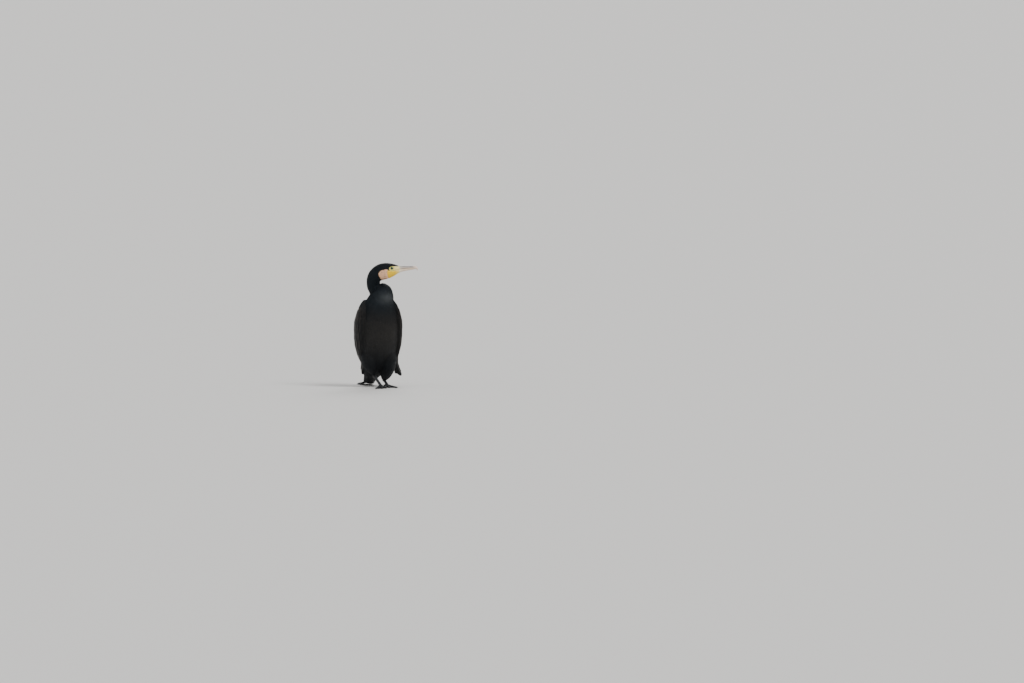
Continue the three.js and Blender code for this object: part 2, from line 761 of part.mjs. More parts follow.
for (const hand of ["left", "right"]) {
  const leg = legs[hand];
  const thighSolid = loft(leg.thigh, 16, 10);
  const thighClearance = loft(leg.thigh, 16, 10, { lift: gap });
  const shankSolid = shank(leg);
  const foot = footSolid(leg);
  const footPlane = leg.foot.clone().lerp(leg.ankle, 0.12);
  const shankWay = leg.ankle.clone().sub(leg.foot);
  const bareShank = shankSolid.subtract(thighClearance).subtract(bodyClearance);
  const shankCut = largest(beyond(bareShank, footPlane, shankWay, gap / 2));
  const footCut = largest(beyond(foot, footPlane, shankWay.clone().negate(), gap / 2));
  const thighCut = largest(thighSolid.subtract(bodyClearance));
  const wing = largest(featheredWing(hand).subtract(bodyClearance).subtract(thighClearance));
  add(`wing_${hand}`, wing, materials.wing);
  add(`thigh_${hand}`, thighCut, materials.plumage);
  add(`leg_${hand}`, shankCut, materials.foot);
  add(`foot_${hand}`, footCut, materials.foot);
  for (const toe of toes) add(`claw_${hand}_${toe.name}`, claw(leg, toe), materials.claw);
  add(`eye_${hand}`, eyeball(hand === "left" ? 1 : -1, eyeRadius), materials.eye);
}
const tail = largest(beyond(featheredTail(), rumpCut.centre, rumpNormal, gap).subtract(bodyClearance));
add("torso", torso, materials.plumage);
add("neck_lower", neckLower, materials.plumage);
add("neck_upper", neckUpper, materials.plumage);
add("head", head, materials.face);
add("bill_upper", largest(upperBill), materials.bill);
add("bill_lower", largest(lowerBill), materials.bill);
add("tail", tail, materials.wing);

// The part's own frame starts under the middle of the whole bird
const middle = new THREE.Box3().setFromObject(bird).getCenter(point(0, 0, 0));
bird.position.set(-middle.x, -middle.y, 0);

export default bird;
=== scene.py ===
# A great cormorant at rest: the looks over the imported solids.
# Shapes are worked out in millimetres in the bird's own frame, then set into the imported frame.
import math

import bmesh
import bpy
import numpy as np
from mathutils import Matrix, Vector
from mathutils.bvhtree import BVHTree
from mathutils.kdtree import KDTree


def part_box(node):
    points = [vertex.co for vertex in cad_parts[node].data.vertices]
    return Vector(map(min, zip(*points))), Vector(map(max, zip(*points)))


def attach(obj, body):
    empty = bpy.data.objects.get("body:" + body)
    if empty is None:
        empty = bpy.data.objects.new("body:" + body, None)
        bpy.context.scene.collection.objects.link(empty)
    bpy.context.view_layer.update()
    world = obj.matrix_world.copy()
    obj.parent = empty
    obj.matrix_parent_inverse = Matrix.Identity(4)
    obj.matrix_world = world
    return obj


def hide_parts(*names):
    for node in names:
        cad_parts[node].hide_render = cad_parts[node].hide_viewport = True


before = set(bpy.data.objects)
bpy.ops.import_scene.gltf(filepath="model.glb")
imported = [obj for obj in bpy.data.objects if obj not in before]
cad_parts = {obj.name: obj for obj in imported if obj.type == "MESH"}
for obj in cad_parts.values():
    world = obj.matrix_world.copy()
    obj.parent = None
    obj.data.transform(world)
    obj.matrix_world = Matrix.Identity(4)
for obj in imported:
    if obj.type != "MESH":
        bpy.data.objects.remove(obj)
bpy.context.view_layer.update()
rng = np.random.default_rng(11)
mm = 0.001
tau = 2 * math.pi
upright = np.array([0.0, 0.0, 1.0])

# The head's line points along the bill, and its side to the bird's left and back
headTurn = math.radians(14)
headForward = np.array([math.cos(headTurn), -math.sin(headTurn), 0.0])
headSide = np.array([math.sin(headTurn), math.cos(headTurn), 0.0])
neckBack = -36
headMiddle = -13


def turned(along, back, up):
    return headForward * along + headSide * (back + neckBack) + upright * up


def onMidline(along, up):
    return turned(along, headMiddle, up)


def headPlace(points):
    # Along the bill, out from the head's middle plane, and up
    return points @ headForward, points @ headSide - neckBack - headMiddle, points[..., 2]


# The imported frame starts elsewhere, so the right eye tells where the bird's own frame lies in it
eye = {
    "along": 49,
    "out": 11.2,
    "up": 432.5,
    "radius": 6,
    "iris": 4.8,
    "pupil": 2.2,
    "dark": 0.004,
    "green": (0.010, 0.075, 0.04),
}


def eyeMiddle(sign):
    return turned(eye["along"], headMiddle + sign * eye["out"], eye["up"])


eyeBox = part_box("eye_right")
frameShift = np.array((eyeBox[0] + eyeBox[1]) / 2) - eyeMiddle(-1) * mm


# Curves and sections


def unit(vectors):
    return vectors / np.maximum(np.linalg.norm(vectors, axis=-1, keepdims=True), 1e-9)


def smoothStep(value, low, high):
    t = np.clip((value - low) / (high - low), 0, 1)
    return t * t * (3 - 2 * t)


def curveThrough(points, shares):
    # A smooth curve through points of any dimension, at shares of its length from 0 to 1
    points = np.asarray(points, float)
    place = np.clip(np.asarray(shares, float), 0, 1) * (len(points) - 1)
    first = np.minimum(place.astype(int), len(points) - 2)
    weight = (place - first)[..., None]
    ends = np.vstack([2 * points[0] - points[1], points, 2 * points[-1] - points[-2]])
    p0, p1, p2, p3 = (ends[first + k] for k in range(4))
    root = lambda a, b: np.sqrt(np.linalg.norm(b - a, axis=-1, keepdims=True))
    d0, d1, d2 = root(p0, p1), root(p1, p2), root(p2, p3)
    d1 = np.where(d1 < 1e-4, 1, d1)
    d0 = np.where(d0 < 1e-4, d1, d0)
    d2 = np.where(d2 < 1e-4, d1, d2)
    t1 = ((p1 - p0) / d0 - (p2 - p0) / (d0 + d1) + (p2 - p1) / d1) * d1
    t2 = ((p2 - p1) / d1 - (p3 - p1) / (d1 + d2) + (p3 - p2) / d2) * d1
    square = -3 * p1 + 3 * p2 - 2 * t1 - t2
    cube = 2 * p1 - 2 * p2 + t1 + t2
    return p1 + t1 * weight + square * weight**2 + cube * weight**3


def stationsOf(rows, side=(1.0, 0, 0)):
    # Each row: a centre, a half width, and a height above and below it
    places = np.array([row[0] for row in rows], float)
    sizes = np.array([row[1:] for row in rows], float)
    return {"at": places, "sizes": sizes, "side": np.asarray(side, float)}


def section(stations, shares):
    shares = np.asarray(shares, float)
    ahead = curveThrough(stations["at"], shares + 1e-4)
    tangent = unit(ahead - curveThrough(stations["at"], shares - 1e-4))
    side = stations["side"]
    side = unit(side - tangent * np.sum(side * tangent, -1, keepdims=True))
    sizes = curveThrough(stations["sizes"], shares)
    at = curveThrough(stations["at"], shares)
    return {"at": at, "side": side, "up": np.cross(side, tangent), "sizes": sizes}


def onSection(cut, angle, lift=0.0, square=2.0):
    wide, high = np.sin(angle), np.cos(angle)
    rounded = lambda v: np.sign(v) * np.abs(v) ** (2 / square)
    height = np.where(high >= 0, cut["sizes"][..., 1], cut["sizes"][..., 2])
    aside = rounded(wide) * (cut["sizes"][..., 0] + lift)
    above = rounded(high) * (height + lift)
    return cut["at"] + cut["side"] * aside[..., None] + cut["up"] * above[..., None]


def gridRound(stations, rows, sides, start=0.0):
    cut = section(stations, np.linspace(start, 1, rows)[:, None])
    return cut, onSection(cut, np.linspace(0, tau, sides, endpoint=False)[None])


# Meshes


def makeObject(name, points, faces, material):
    mesh = bpy.data.meshes.new(name)
    mesh.from_pydata(np.asarray(points).reshape(-1, 3) * mm + frameShift, [], faces)
    return finishObject(name, mesh, material)


def inScene(name, data):
    made = bpy.data.objects.new(name, data)
    bpy.context.scene.collection.objects.link(made)
    return made


def finishObject(name, mesh, material):
    mesh.polygons.foreach_set("use_smooth", [True] * len(mesh.polygons))
    mesh.materials.clear()
    mesh.materials.append(material)
    mesh.update()
    piece = inScene(name, mesh)
    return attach(piece, "root")


def paint(piece, tint):
    # A colour for each vertex, or one for all
    layer = piece.data.color_attributes.new("Tint", "FLOAT_COLOR", "POINT")
    rgba = np.ones((len(piece.data.vertices), 4))
    rgba[:, :3] = np.asarray(tint).reshape(-1, 3)
    layer.data.foreach_set("color", rgba.ravel())


def addMap(piece, name, places):
    # A UV map given by vertex
    corners = np.empty(len(piece.data.loops), int)
    piece.data.loops.foreach_get("vertex_index", corners)
    layer = piece.data.uv_layers.new(name=name)
    layer.data.foreach_set("uv", np.asarray(places).reshape(-1, 2)[corners].ravel())


def tube(name, grid, material):
    # A closed mesh from rings of points
    rows, sides = grid.shape[:2]
    points = np.vstack([grid.reshape(-1, 3), grid[0].mean(0), grid[-1].mean(0)])
    index = np.arange(rows * sides).reshape(rows, sides)
    following = np.roll(index, -1, axis=1)
    quads = np.stack([index[:-1], following[:-1], following[1:], index[1:]], -1).reshape(-1, 4)
    start = [[rows * sides, index[0, i], following[0, i]] for i in range(sides)]
    end = [[rows * sides + 1, following[-1, i], index[-1, i]] for i in range(sides)]
    piece = makeObject(name, points, quads.tolist() + start + end, material)
    made = bmesh.new()
    made.from_mesh(piece.data)
    bmesh.ops.recalc_face_normals(made, faces=made.faces)
    made.to_mesh(piece.data)
    made.free()
    return piece


def paintTube(piece, tint):
    paint(piece, np.vstack([tint.reshape(-1, 3), tint[0, :1], tint[-1, :1]]))


def meshArrays(mesh):
    points = np.empty(len(mesh.vertices) * 3)
    mesh.vertices.foreach_get("co", points)
    normals = np.empty(len(mesh.vertices) * 3)
    mesh.vertices.foreach_get("normal", normals)
    edges = np.empty(len(mesh.edges) * 2, int)
    mesh.edges.foreach_get("vertices", edges)
    return (points.reshape(-1, 3) - frameShift) / mm, normals.reshape(-1, 3), edges.reshape(-1, 2)


def trianglesOf(piece):
    piece.data.calc_loop_triangles()
    return np.array([t.vertices[:] for t in piece.data.loop_triangles])


# Materials


def newMaterial(name, **sockets):
    material = bpy.data.materials.new(name)
    material.use_nodes = True
    shader = material.node_tree.nodes["Principled BSDF"]
    for socket, value in sockets.items():
        shader.inputs[socket.replace("_", " ")].default_value = value
    return material


def addNode(material, kind, sockets=None, **settings):
    node = material.node_tree.nodes.new(kind)
    for name, value in settings.items():
        setattr(node, name, value)
    for socket, value in (sockets or {}).items():
        if isinstance(value, bpy.types.NodeSocket):
            material.node_tree.links.new(value, node.inputs[socket])
        else:
            node.inputs[socket].default_value = value
    return node


def drive(material, socket, source):
    shader = material.node_tree.nodes["Principled BSDF"]
    material.node_tree.links.new(source, shader.inputs[socket])


def reckon(material, operation, first, second=0.0):
    values = {0: first, 1: second}
    return addNode(material, "ShaderNodeMath", values, operation=operation).outputs[0]


def bumpFrom(material, height, strength, distance):
    values = {"Height": height, "Strength": strength, "Distance": distance}
    bump = addNode(material, "ShaderNodeBump", values)
    drive(material, "Normal", bump.outputs["Normal"])


def tintedBy(material, noiseScale, spread, gloss):
    # The painted tint and the gloss, both varied by a fine noise
    tint = addNode(material, "ShaderNodeAttribute", attribute_name="Tint").outputs["Color"]
    place = addNode(material, "ShaderNodeTexCoord").outputs["Object"]
    grain = {"Vector": place, "Scale": noiseScale, "Detail": 4.0}
    noise = addNode(material, "ShaderNodeTexNoise", grain)
    span = {"Value": noise.outputs["Fac"], "To Min": 1 - spread, "To Max": 1 + spread}
    shade = addNode(material, "ShaderNodeMapRange", span).outputs["Result"]
    product = addNode(material, "ShaderNodeVectorMath", {0: tint, 1: shade}, operation="MULTIPLY")
    drive(material, "Base Color", product.outputs[0])
    span = {"Value": noise.outputs["Fac"], "To Min": gloss[0], "To Max": gloss[1]}
    rough = addNode(material, "ShaderNodeMapRange", span)
    drive(material, "Roughness", rough.outputs["Result"])
    return place


barbSlant = 0.9


def featherMaterial(name, barbs, depth, gloss, **sockets):
    # Barbs run out and forward from the shaft on each feather's own map
    material = newMaterial(name, **sockets)
    tintedBy(material, 900, 0.25, gloss)
    vaneMap = addNode(material, "ShaderNodeUVMap", uv_map="Vane").outputs["UV"]
    split = addNode(material, "ShaderNodeSeparateXYZ", {0: vaneMap})
    aside = reckon(material, "ABSOLUTE", reckon(material, "SUBTRACT", split.outputs["X"], 0.5))
    slant = reckon(material, "MULTIPLY", aside, -barbSlant * barbs)
    run = reckon(material, "MULTIPLY", split.outputs["Y"], barbs)
    wave = reckon(material, "SINE", reckon(material, "ADD", slant, run))
    bumpFrom(material, wave, 0.5, depth)
    return material


def skinMaterial(name, grain, depth, gloss, **sockets):
    # Fine pebbled skin
    material = newMaterial(name, **sockets)
    place = tintedBy(material, 700, 0.16, gloss)
    sizes = {"Vector": place, "Scale": grain}
    cells = addNode(material, "ShaderNodeTexVoronoi", sizes, feature="SMOOTH_F1")
    bumpFrom(material, cells.outputs["Distance"], 0.5, depth)
    return material


blueGloss = (0.72, 0.86, 1.0, 1.0)
dullGloss = {"Specular_Tint": blueGloss, "Specular_IOR_Level": 0.26}
bodyPlumage = featherMaterial("bodyPlumage", 30, 0.00006, (0.4, 0.56), **dullGloss)
wingPlumage = featherMaterial("wingPlumage", 150, 0.0001, (0.34, 0.5), **dullGloss)
underCoat = skinMaterial("underCoat", 900, 0.0002, (0.7, 0.9))
fleshy = {"Subsurface_Weight": 0.05, "Subsurface_Scale": 0.002}
bareFace = skinMaterial("bareFace", 1150, 0.0003, (0.36, 0.54), **fleshy)
footSkin = skinMaterial("footSkin", 800, 0.0004, (0.36, 0.56))
clawHorn = newMaterial("clawHorn")
tintedBy(clawHorn, 500, 0.2, (0.2, 0.4))
billHorn = newMaterial("billHorn", Coat_Weight=0.12, Coat_Roughness=0.3)
billPlace = tintedBy(billHorn, 240, 0.13, (0.28, 0.46))
fibres = {"Vector": billPlace, "Scale": 420.0, "Detail": 6.0}
streaks = addNode(billHorn, "ShaderNodeTexNoise", fibres)
bumpFrom(billHorn, streaks.outputs["Fac"], 0.3, 0.0002)
wet = {"Coat_Weight": 0.55, "Coat_Roughness": 0.02, "Specular_IOR_Level": 0.2}
eyeGloss = newMaterial("eyeGloss", **wet)
tintedBy(eyeGloss, 1500, 0.25, (0.06, 0.14))
print("materials made")

# The plumage's colours by place

colours = {
    "black": (0.0046, 0.0048, 0.0058),
    "breast": (0.027, 0.0235, 0.020),
    "gloss": (0.0062, 0.0086, 0.011),
    # painted highlight: the pale colour of light shining off the front of the lower neck
    "paintedSheen": (0.085, 0.093, 0.096),
    "mantle": (0.024, 0.018, 0.0135),
    "cheek": (0.95, 0.59, 0.37),
    "gular": (0.84, 0.53, 0.0),
    "gularPale": (0.93, 0.76, 0.34),
    "ring": (0.72, 0.64, 0.10),
    "lore": (0.84, 0.70, 0.26),
    "mouth": (0.10, 0.06, 0.03),
    "fleck": (0.30, 0.30, 0.29),
}

# The head's fields of colour, outlined along the bill and up
faceOutlines = {
    "cheek": [
        (5, 414), (8, 421), (15, 425), (25, 427.5), (34, 429), (39, 424),
        (37, 414), (37, 405), (42, 397), (34, 391), (26, 387.5), (18, 391),
        (12, 398), (7, 406),
    ],
    "gular": [
        (34, 425), (42, 423.5), (50, 422.8), (58, 423.6), (66, 425), (76, 427),
        (84, 424), (84, 410), (70, 402), (56, 394), (44, 390), (38, 396),
        (35, 404), (33, 412), (33, 419),
    ],
    "ring": [
        (39.5, 428), (40, 434), (43, 438.6), (49, 441), (56, 441), (64, 440.6),
        (74, 440.5), (84, 441), (84, 424), (74, 424), (66, 423.6), (58, 422.6),
        (49, 422), (43, 423.5),
    ],
}


def closedCurve(points, count):
    ring = np.array([points[-1], *points, points[0], points[1]], float)
    return curveThrough(ring, (1 + len(points) * np.arange(count) / count) / (len(ring) - 1))


curveSteps = 60
faceCurves = {name: closedCurve(points, curveSteps) for name, points in faceOutlines.items()}


def faceShare(name, along, up, inner=0.9, outer=0.9):
    # 1 inside an outline on the side of the head and 0 outside: in between for
    # a width of outer before the outline and of inner behind it
    outline = faceCurves[name]
    run = np.roll(outline, -1, axis=0) - outline
    away = np.stack([along, up], -1)[..., None, :] - outline
    t = np.clip(np.sum(away * run, -1) / np.sum(run**2, -1), 0, 1)
    gap = np.linalg.norm(away - run * t[..., None], axis=-1).min(-1)
    rising = np.where(np.abs(run[:, 1]) < 1e-9, 1e-9, run[:, 1])
    crossed = (away[..., 1] < 0) != (away[..., 1] < run[:, 1])
    inside = (crossed & (away[..., 0] < away[..., 1] / rising * run[:, 0])).sum(-1) % 2
    return smoothStep(np.where(inside, gap, -gap), -outer, inner)


def mixed(first, second, share):
    return first * (1 - share[..., None]) + np.asarray(second) * share[..., None]


def bareShare(along, up):
    return np.maximum(faceShare("gular", along, up), faceShare("ring", along, up))


headFrom = 384
breastHeights = (60, 200), (200, 350)
glossHeights = (230, 350), (420, 445)
# A painted highlight: a pale patch where the light shines off the front of the lower neck
paintedHighlight = {"x": 12, "wide": 30, "z": 330, "high": 18, "share": 0.8}


def plumageTint(points, normals):
    x, z = points[:, 0], points[:, 2]
    base = np.broadcast_to(np.array(colours["black"]), points.shape).copy()
    front = smoothStep(-normals[:, 1], 0, 0.9)
    rise, fall = breastHeights
    onBreast = front * smoothStep(z, *rise) * (1 - smoothStep(z, *fall))
    base = mixed(base, colours["breast"], onBreast)
    rise, fall = glossHeights
    base = mixed(base, colours["gloss"], smoothStep(z, *rise) * (1 - smoothStep(z, *fall)))
    # Painted highlight: a pale patch on the front of the lower neck, mixed into the plumage's colour
    aside = (x - paintedHighlight["x"]) / paintedHighlight["wide"]
    above = (z - paintedHighlight["z"]) / paintedHighlight["high"]
    paintedSheen = np.exp(-(aside**2) - above**2) * front
    base = mixed(base, colours["paintedSheen"], paintedSheen * paintedHighlight["share"])
    head = np.flatnonzero(z > headFrom)
    along, _, up = headPlace(points[head])
    base[head] = mixed(base[head], colours["cheek"], faceShare("cheek", along, up, 1.3, 1.3))
    return base


# The skin under the feathers, from the solids of flesh

skin = {
    "voxel": 2.0,
    "closing": 0.35,
    "smoothing": 10,
    "height": [0, 300, 330, 392, 402],
    "depth": [1.7, 1.7, 1.3, 1.3, 1.0],
    "bare": 2.6,
    "socket": 5.0,
    "socketEdge": (6, 8.5),
    # shade: painted shade, how much darker the skin under the feathers is painted
    "shade": 0.8,
}
fleshNodes = ["torso", "neck_lower", "neck_upper", "head", "thigh_left", "thigh_right"]
rumpStations = stationsOf(
    [
        ((0, 84, 55), 38, 27, 24),
        ((0, 104, 39), 29.6, 16.6, 16.6),
        ((0, 118, 31), 27, 12, 13),
        ((0, 138, 20), 24, 8, 9),
        ((0, 158, 13), 19, 4, 5),
        ((0, 178, 9), 10, 1.2, 1.2),
    ]
)


def swollenCopies(nodes, swell, extra=()):
    # Copies of solids, a little swollen so that the gaps between them close
    whole = bmesh.new()
    for mesh in [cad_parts[name].data for name in nodes] + list(extra):
        part = bmesh.new()
        part.from_mesh(mesh)
        bmesh.ops.remove_doubles(part, verts=part.verts, dist=1e-6)
        part.normal_update()
        moved = [v.co + v.normal * swell * mm for v in part.verts]
        for v, co in zip(part.verts, moved):
            v.co = co
        held = bpy.data.meshes.new("held")
        part.to_mesh(held)
        part.free()
        whole.from_mesh(held)
        bpy.data.meshes.remove(held)
    mesh = bpy.data.meshes.new("copies")
    whole.to_mesh(mesh)
    whole.free()
    return mesh


def evaluatedMesh(holder):
    bpy.context.view_layer.update()
    evaluated = holder.evaluated_get(bpy.context.evaluated_depsgraph_get())
    return bpy.data.meshes.new_from_object(evaluated)


def remeshed(mesh, voxel):
    holder = inScene("holder", mesh)
    remesh = holder.modifiers.new("remesh", "REMESH")
    remesh.mode = "VOXEL"
    remesh.voxel_size = voxel * mm
    made = evaluatedMesh(holder)
    bpy.data.objects.remove(holder)
    return made


def smoothed(points, edges, rounds):
    first, second = edges[:, 0], edges[:, 1]
    count = np.bincount(edges.ravel(), minlength=len(points))[:, None]
    for _ in range(rounds):
        total = np.zeros_like(points)
        for axis in range(3):
            total[:, axis] = np.bincount(first, points[second, axis], len(points))
            total[:, axis] += np.bincount(second, points[first, axis], len(points))
        points = points * 0.4 + total / count * 0.6
    return points


def eyeDistance(points):
    along, _, up = headPlace(points)
    return np.hypot(along - eye["along"], up - eye["up"])


def makeSkin():
    _, grid = gridRound(rumpStations, 14, 24)
    rump = tube("rump", grid, underCoat)
    # The eyeballs fill their hollows, so that sinking the skin there doesn't fold it
    solids = [*fleshNodes, "eye_left", "eye_right"]
    flesh = remeshed(swollenCopies(solids, skin["closing"], [rump.data]), skin["voxel"])
    bpy.data.objects.remove(rump)
    points, _, edges = meshArrays(flesh)
    points = smoothed(points, edges, skin["smoothing"])
    flesh.vertices.foreach_set("co", (points * mm + frameShift).ravel())
    flesh.update()
    _, normals, _ = meshArrays(flesh)
    depth = np.interp(points[:, 2], skin["height"], skin["depth"])
    head = np.flatnonzero(points[:, 2] > headFrom)
    along, _, up = headPlace(points[head])
    depth[head] += bareShare(along, up) * skin["bare"]
    nearEye = 1 - smoothStep(eyeDistance(points[head]), *skin["socketEdge"])
    depth[head] += skin["socket"] * nearEye
    points = points - normals * depth[:, None]
    faces = [list(p.vertices) for p in flesh.polygons]
    piece = makeObject("skin", points, faces, underCoat)
    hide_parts(*fleshNodes)
    # Painted shade: the skin under the feathers takes the plumage's colours, darkened
    paint(piece, plumageTint(points, normals) * skin["shade"])
    return piece, points


skinPiece, skinPoints = makeSkin()
skinCorners = trianglesOf(skinPiece)
print("skin:", len(skinCorners), "triangles")

# The lie of the coat follows a line from the bill to the tail

coatLine = curveThrough(
    [
        onMidline(78, 430),
        onMidline(62, 430),
        onMidline(32, 424),
        turned(14, -12, 418),
        turned(-3, -10, 410),
        turned(-13, -6, 397),
        turned(-16, -2, 380),
        turned(-12, -2, 361),
        turned(-4, -4, 342),
        turned(3, -6, 320),
        (-5, -41, 275),
        (-4, -28, 230),
        (-3, -11, 190),
        (-1, 9, 150),
        (0, 32, 112),
        (0, 58, 80),
        (0, 84, 55),
        (0, 118, 31),
        (0, 160, 12),
        (0, 190, 6),
    ],
    np.linspace(0, 1, 500),
)
coatWay = unit(np.gradient(coatLine, axis=0))
coatRun = np.concatenate([[0], np.cumsum(np.linalg.norm(np.diff(coatLine, axis=0), axis=1))])


def nearestOnLine(points):
    reach = (coatLine**2).sum(1)
    parts = np.array_split(points, len(points) // 20000 + 1)
    return np.concatenate([(reach - 2 * part @ coatLine.T).argmin(1) for part in parts])


thighs = {"middles": ((-26, 14), (40, 26)), "edge": (26, 40), "top": (70, 115)}
downTheLeg = np.array([0.0, 0.35, -0.93])
atTheFold = np.array([0.25, -0.85, -0.45])


def legShare(points):
    # 1 on the lower thighs, where the feathers turn down the leg
    x, y, z = points.T
    gaps = [np.hypot(x - midX, y - midY) for midX, midY in thighs["middles"]]
    right, left = (1 - smoothStep(gap, *thighs["edge"]) for gap in gaps)
    return np.maximum(right, left) * (1 - smoothStep(z, *thighs["top"]))


def lieOfCoat(points, normals):
    way = coatWay[nearestOnLine(points)]
    legs = legShare(points)[:, None]
    way = way * (1 - legs) + downTheLeg * legs
    flat = way - normals * np.sum(way * normals, -1, keepdims=True)
    # Where the neck folds and the line runs into the skin, the feathers lie forward and down
    weak = 1 - np.minimum(1, np.linalg.norm(flat, axis=-1, keepdims=True) / 0.7)
    ahead = atTheFold - normals * np.sum(atTheFold * normals, -1, keepdims=True)
    return unit(flat + weak * ahead)


def skinMap(points):
    # The skin's own unwrap: round the coat's line and along it
    nearest = nearestOnLine(points)
    off = points - coatLine[nearest]
    side = unit(np.cross(coatWay[nearest], np.array([0.0, 1.0, 0.2])))
    over = np.cross(side, coatWay[nearest])
    angle = np.arctan2(np.sum(off * side, -1), np.sum(off * over, -1))
    return np.stack([angle / tau + 0.5, coatRun[nearest] / coatRun[-1]], -1) * 0.94 + 0.03


addMap(skinPiece, "OFBake", skinMap(skinPoints))

# Vanes: every feather is a closed thin form along its shaft

plainVane = {
    "profile": np.array([(0, 1), (1, 0), (0, -1), (-1, 0)], float),
    "rows": np.array([0, 0.4, 0.8, 1]),
    "wide": np.array([0.5, 0.95, 0.72, 0.14]),
}
# Across a large feather: the arched vane with its raised shaft, then the underside
leftHalf = [(-1, 0), (-0.62, 0.75), (-0.26, 1), (-0.07, 1.1)]
rightHalf = [(-x, z) for x, z in reversed(leftHalf)]
underside = [(0.5, -0.8), (0, -1.4), (-0.5, -0.8)]
fineVane = {
    "profile": np.array(leftHalf + [(0, 2.1)] + rightHalf + underside, float),
    "rows": np.array([0, 0.15, 0.32, 0.5, 0.66, 0.79, 0.88, 0.94, 0.98, 1]),
    "wide": np.array([0.5, 0.8, 0.94, 1, 1, 0.94, 0.8, 0.6, 0.36, 0.12]),
}


def vanePoints(at, over, up, half, thick, profile, roll, cup):
    # The profile set on every row of every feather
    x, z = profile[:, 0], profile[:, 1]
    sideways = half[..., None] * x
    height = thick * z / 2 + roll[:, None, None] * sideways - cup * sideways**2
    aside = over[:, :, None] * sideways[..., None]
    return at[:, :, None] + aside + up[:, :, None] * height[..., None]


def vaneFaces(points):
    # Quads round every vane, each turned so that its faces look out
    count, rows, sides = points.shape[:3]
    away = points - points.mean((1, 2), keepdims=True)
    following = np.roll(away, -1, axis=2)
    turn = np.cross(away[:, :-1], following[:, :-1])
    inward = np.sum(turn * away[:, 1:], axis=(1, 2, 3)) < 0
    index = np.arange(count * rows * sides).reshape(count, rows, sides)
    after = np.roll(index, -1, axis=2)
    quads = np.stack([index[:, :-1], after[:, :-1], after[:, 1:], index[:, 1:]], -1)
    quads[inward] = quads[inward][..., ::-1]
    caps = np.stack([index[:, 0, ::-1], index[:, -1]], 1)
    caps[inward] = caps[inward][..., ::-1]
    return quads.reshape(-1, 4).tolist() + caps.reshape(-1, sides).tolist()


patch = 0.003


def vanePiece(name, points, vane, tints, rootMap, material):
    shape = points.shape[:3]
    piece = makeObject(name, points, vaneFaces(points), material)
    paint(piece, np.broadcast_to(tints, (*shape, 3)))
    across = np.broadcast_to(vane["profile"][:, 0] / 2 + 0.5, shape)
    down = np.broadcast_to(vane["rows"][None, :, None], shape)
    ownMap = np.stack([across, down], -1)
    addMap(piece, "OFBake", rootMap[:, None, None] + (ownMap - 0.5) * patch)
    addMap(piece, "Vane", ownMap)
    return piece


def rimmedTints(tint, ragged):
    # A broad centre with a dark glossy rim round the sides and the tip
    x = np.abs(fineVane["profile"][:, 0])[None, None]
    t = fineVane["rows"][None, :, None]
    edge = np.maximum(smoothStep(x, 0.55, 0.95), smoothStep(t, 0.8, 0.96))
    base = np.asarray(tint) * ragged[:, None, None, None]
    full = np.broadcast_to(base, (len(ragged), t.size, x.size, 3))
    return mixed(full, colours["black"], np.broadcast_to(edge, full.shape[:3]) * 0.92)


# Wings on the same form as the solids

wingStations = stationsOf(
    [
        ((-10, -46, 319), 49.5, 48, 45),
        ((-8.5, -42, 276), 65, 60, 58),
        ((-6.5, -28, 230), 76, 66, 64),
        ((-3, -11, 190), 76.5, 67, 64),
        ((1, 9, 150), 74, 65, 60),
        ((1.5, 32, 112), 62.5, 58, 53),
        ((2, 56, 80), 48, 50, 44),
        ((0, 82, 52), 46, 44, 38),
        ((0, 108, 26), 38, 37, 30),
    ]
)
wing = {
    "flare": {"left": (63.0, -6.0, -7.0), "right": (9.0, 0.0, 0.0)},
    "station": [0.1, 0.8, 2, 3.4, 4.8, 6, 7, 7.7],
    "back": [50, 22, 12, 10, 14, 24, 32, 40],
    "front": [88, 108, 114, 112, 106, 98, 90, 82],
    "thick": 9.5,
    "coreReach": 0.66,
    "coreGrid": (30, 16),
    "coreTop": 0.9,
    "coreBottom": 3.0,
}
wingOutline = np.stack([wing["station"], wing["back"], wing["front"]], -1)


def onWing(hand, along, over, lift):
    # A place on the folded wing: shares of its length and of its breadth, and a lift
    outline = curveThrough(wingOutline, np.clip(along, 0, 1))
    station, back, front = outline[..., 0], outline[..., 1], outline[..., 2]
    angle = back + (front - back) * over
    side = -1 if hand == "right" else 1
    cut = section(wingStations, np.clip(station / 8, 0, 1))
    spot = onSection(cut, np.radians(angle) * side, lift)
    out = smoothStep(station, 4.1, 8) * (0.6 + 0.4 * np.clip((angle - 40) / 40, 0, 1))
    return spot + np.array(wing["flare"][hand]) * out[..., None]


def wingDepth(along, over):
    crown = 1 - np.clip(2 * over - 1, -1, 1) ** 4
    body = wing["thick"] * crown * (1 - np.clip(along, 0, 1)) ** 0.7
    return 2 + (body + 2) * np.clip(along * 4 + 0.3, 0, 1)


def wingCore(hand):
    rows, columns = wing["coreGrid"]
    along = np.linspace(0, wing["coreReach"], rows)[:, None] + np.zeros((1, columns))
    over = np.linspace(0, 1, columns)[None] + np.zeros((rows, 1))
    upper = onWing(hand, along, over, wingDepth(along, over) - wing["coreTop"])
    lower = onWing(hand, along, over, np.full(along.shape, -wing["coreBottom"]))
    grid = np.concatenate([upper, lower[:, ::-1]], 1)
    piece = tube(f"wingCore{hand.title()}", grid, underCoat)
    paint(piece, colours["black"])
    return piece


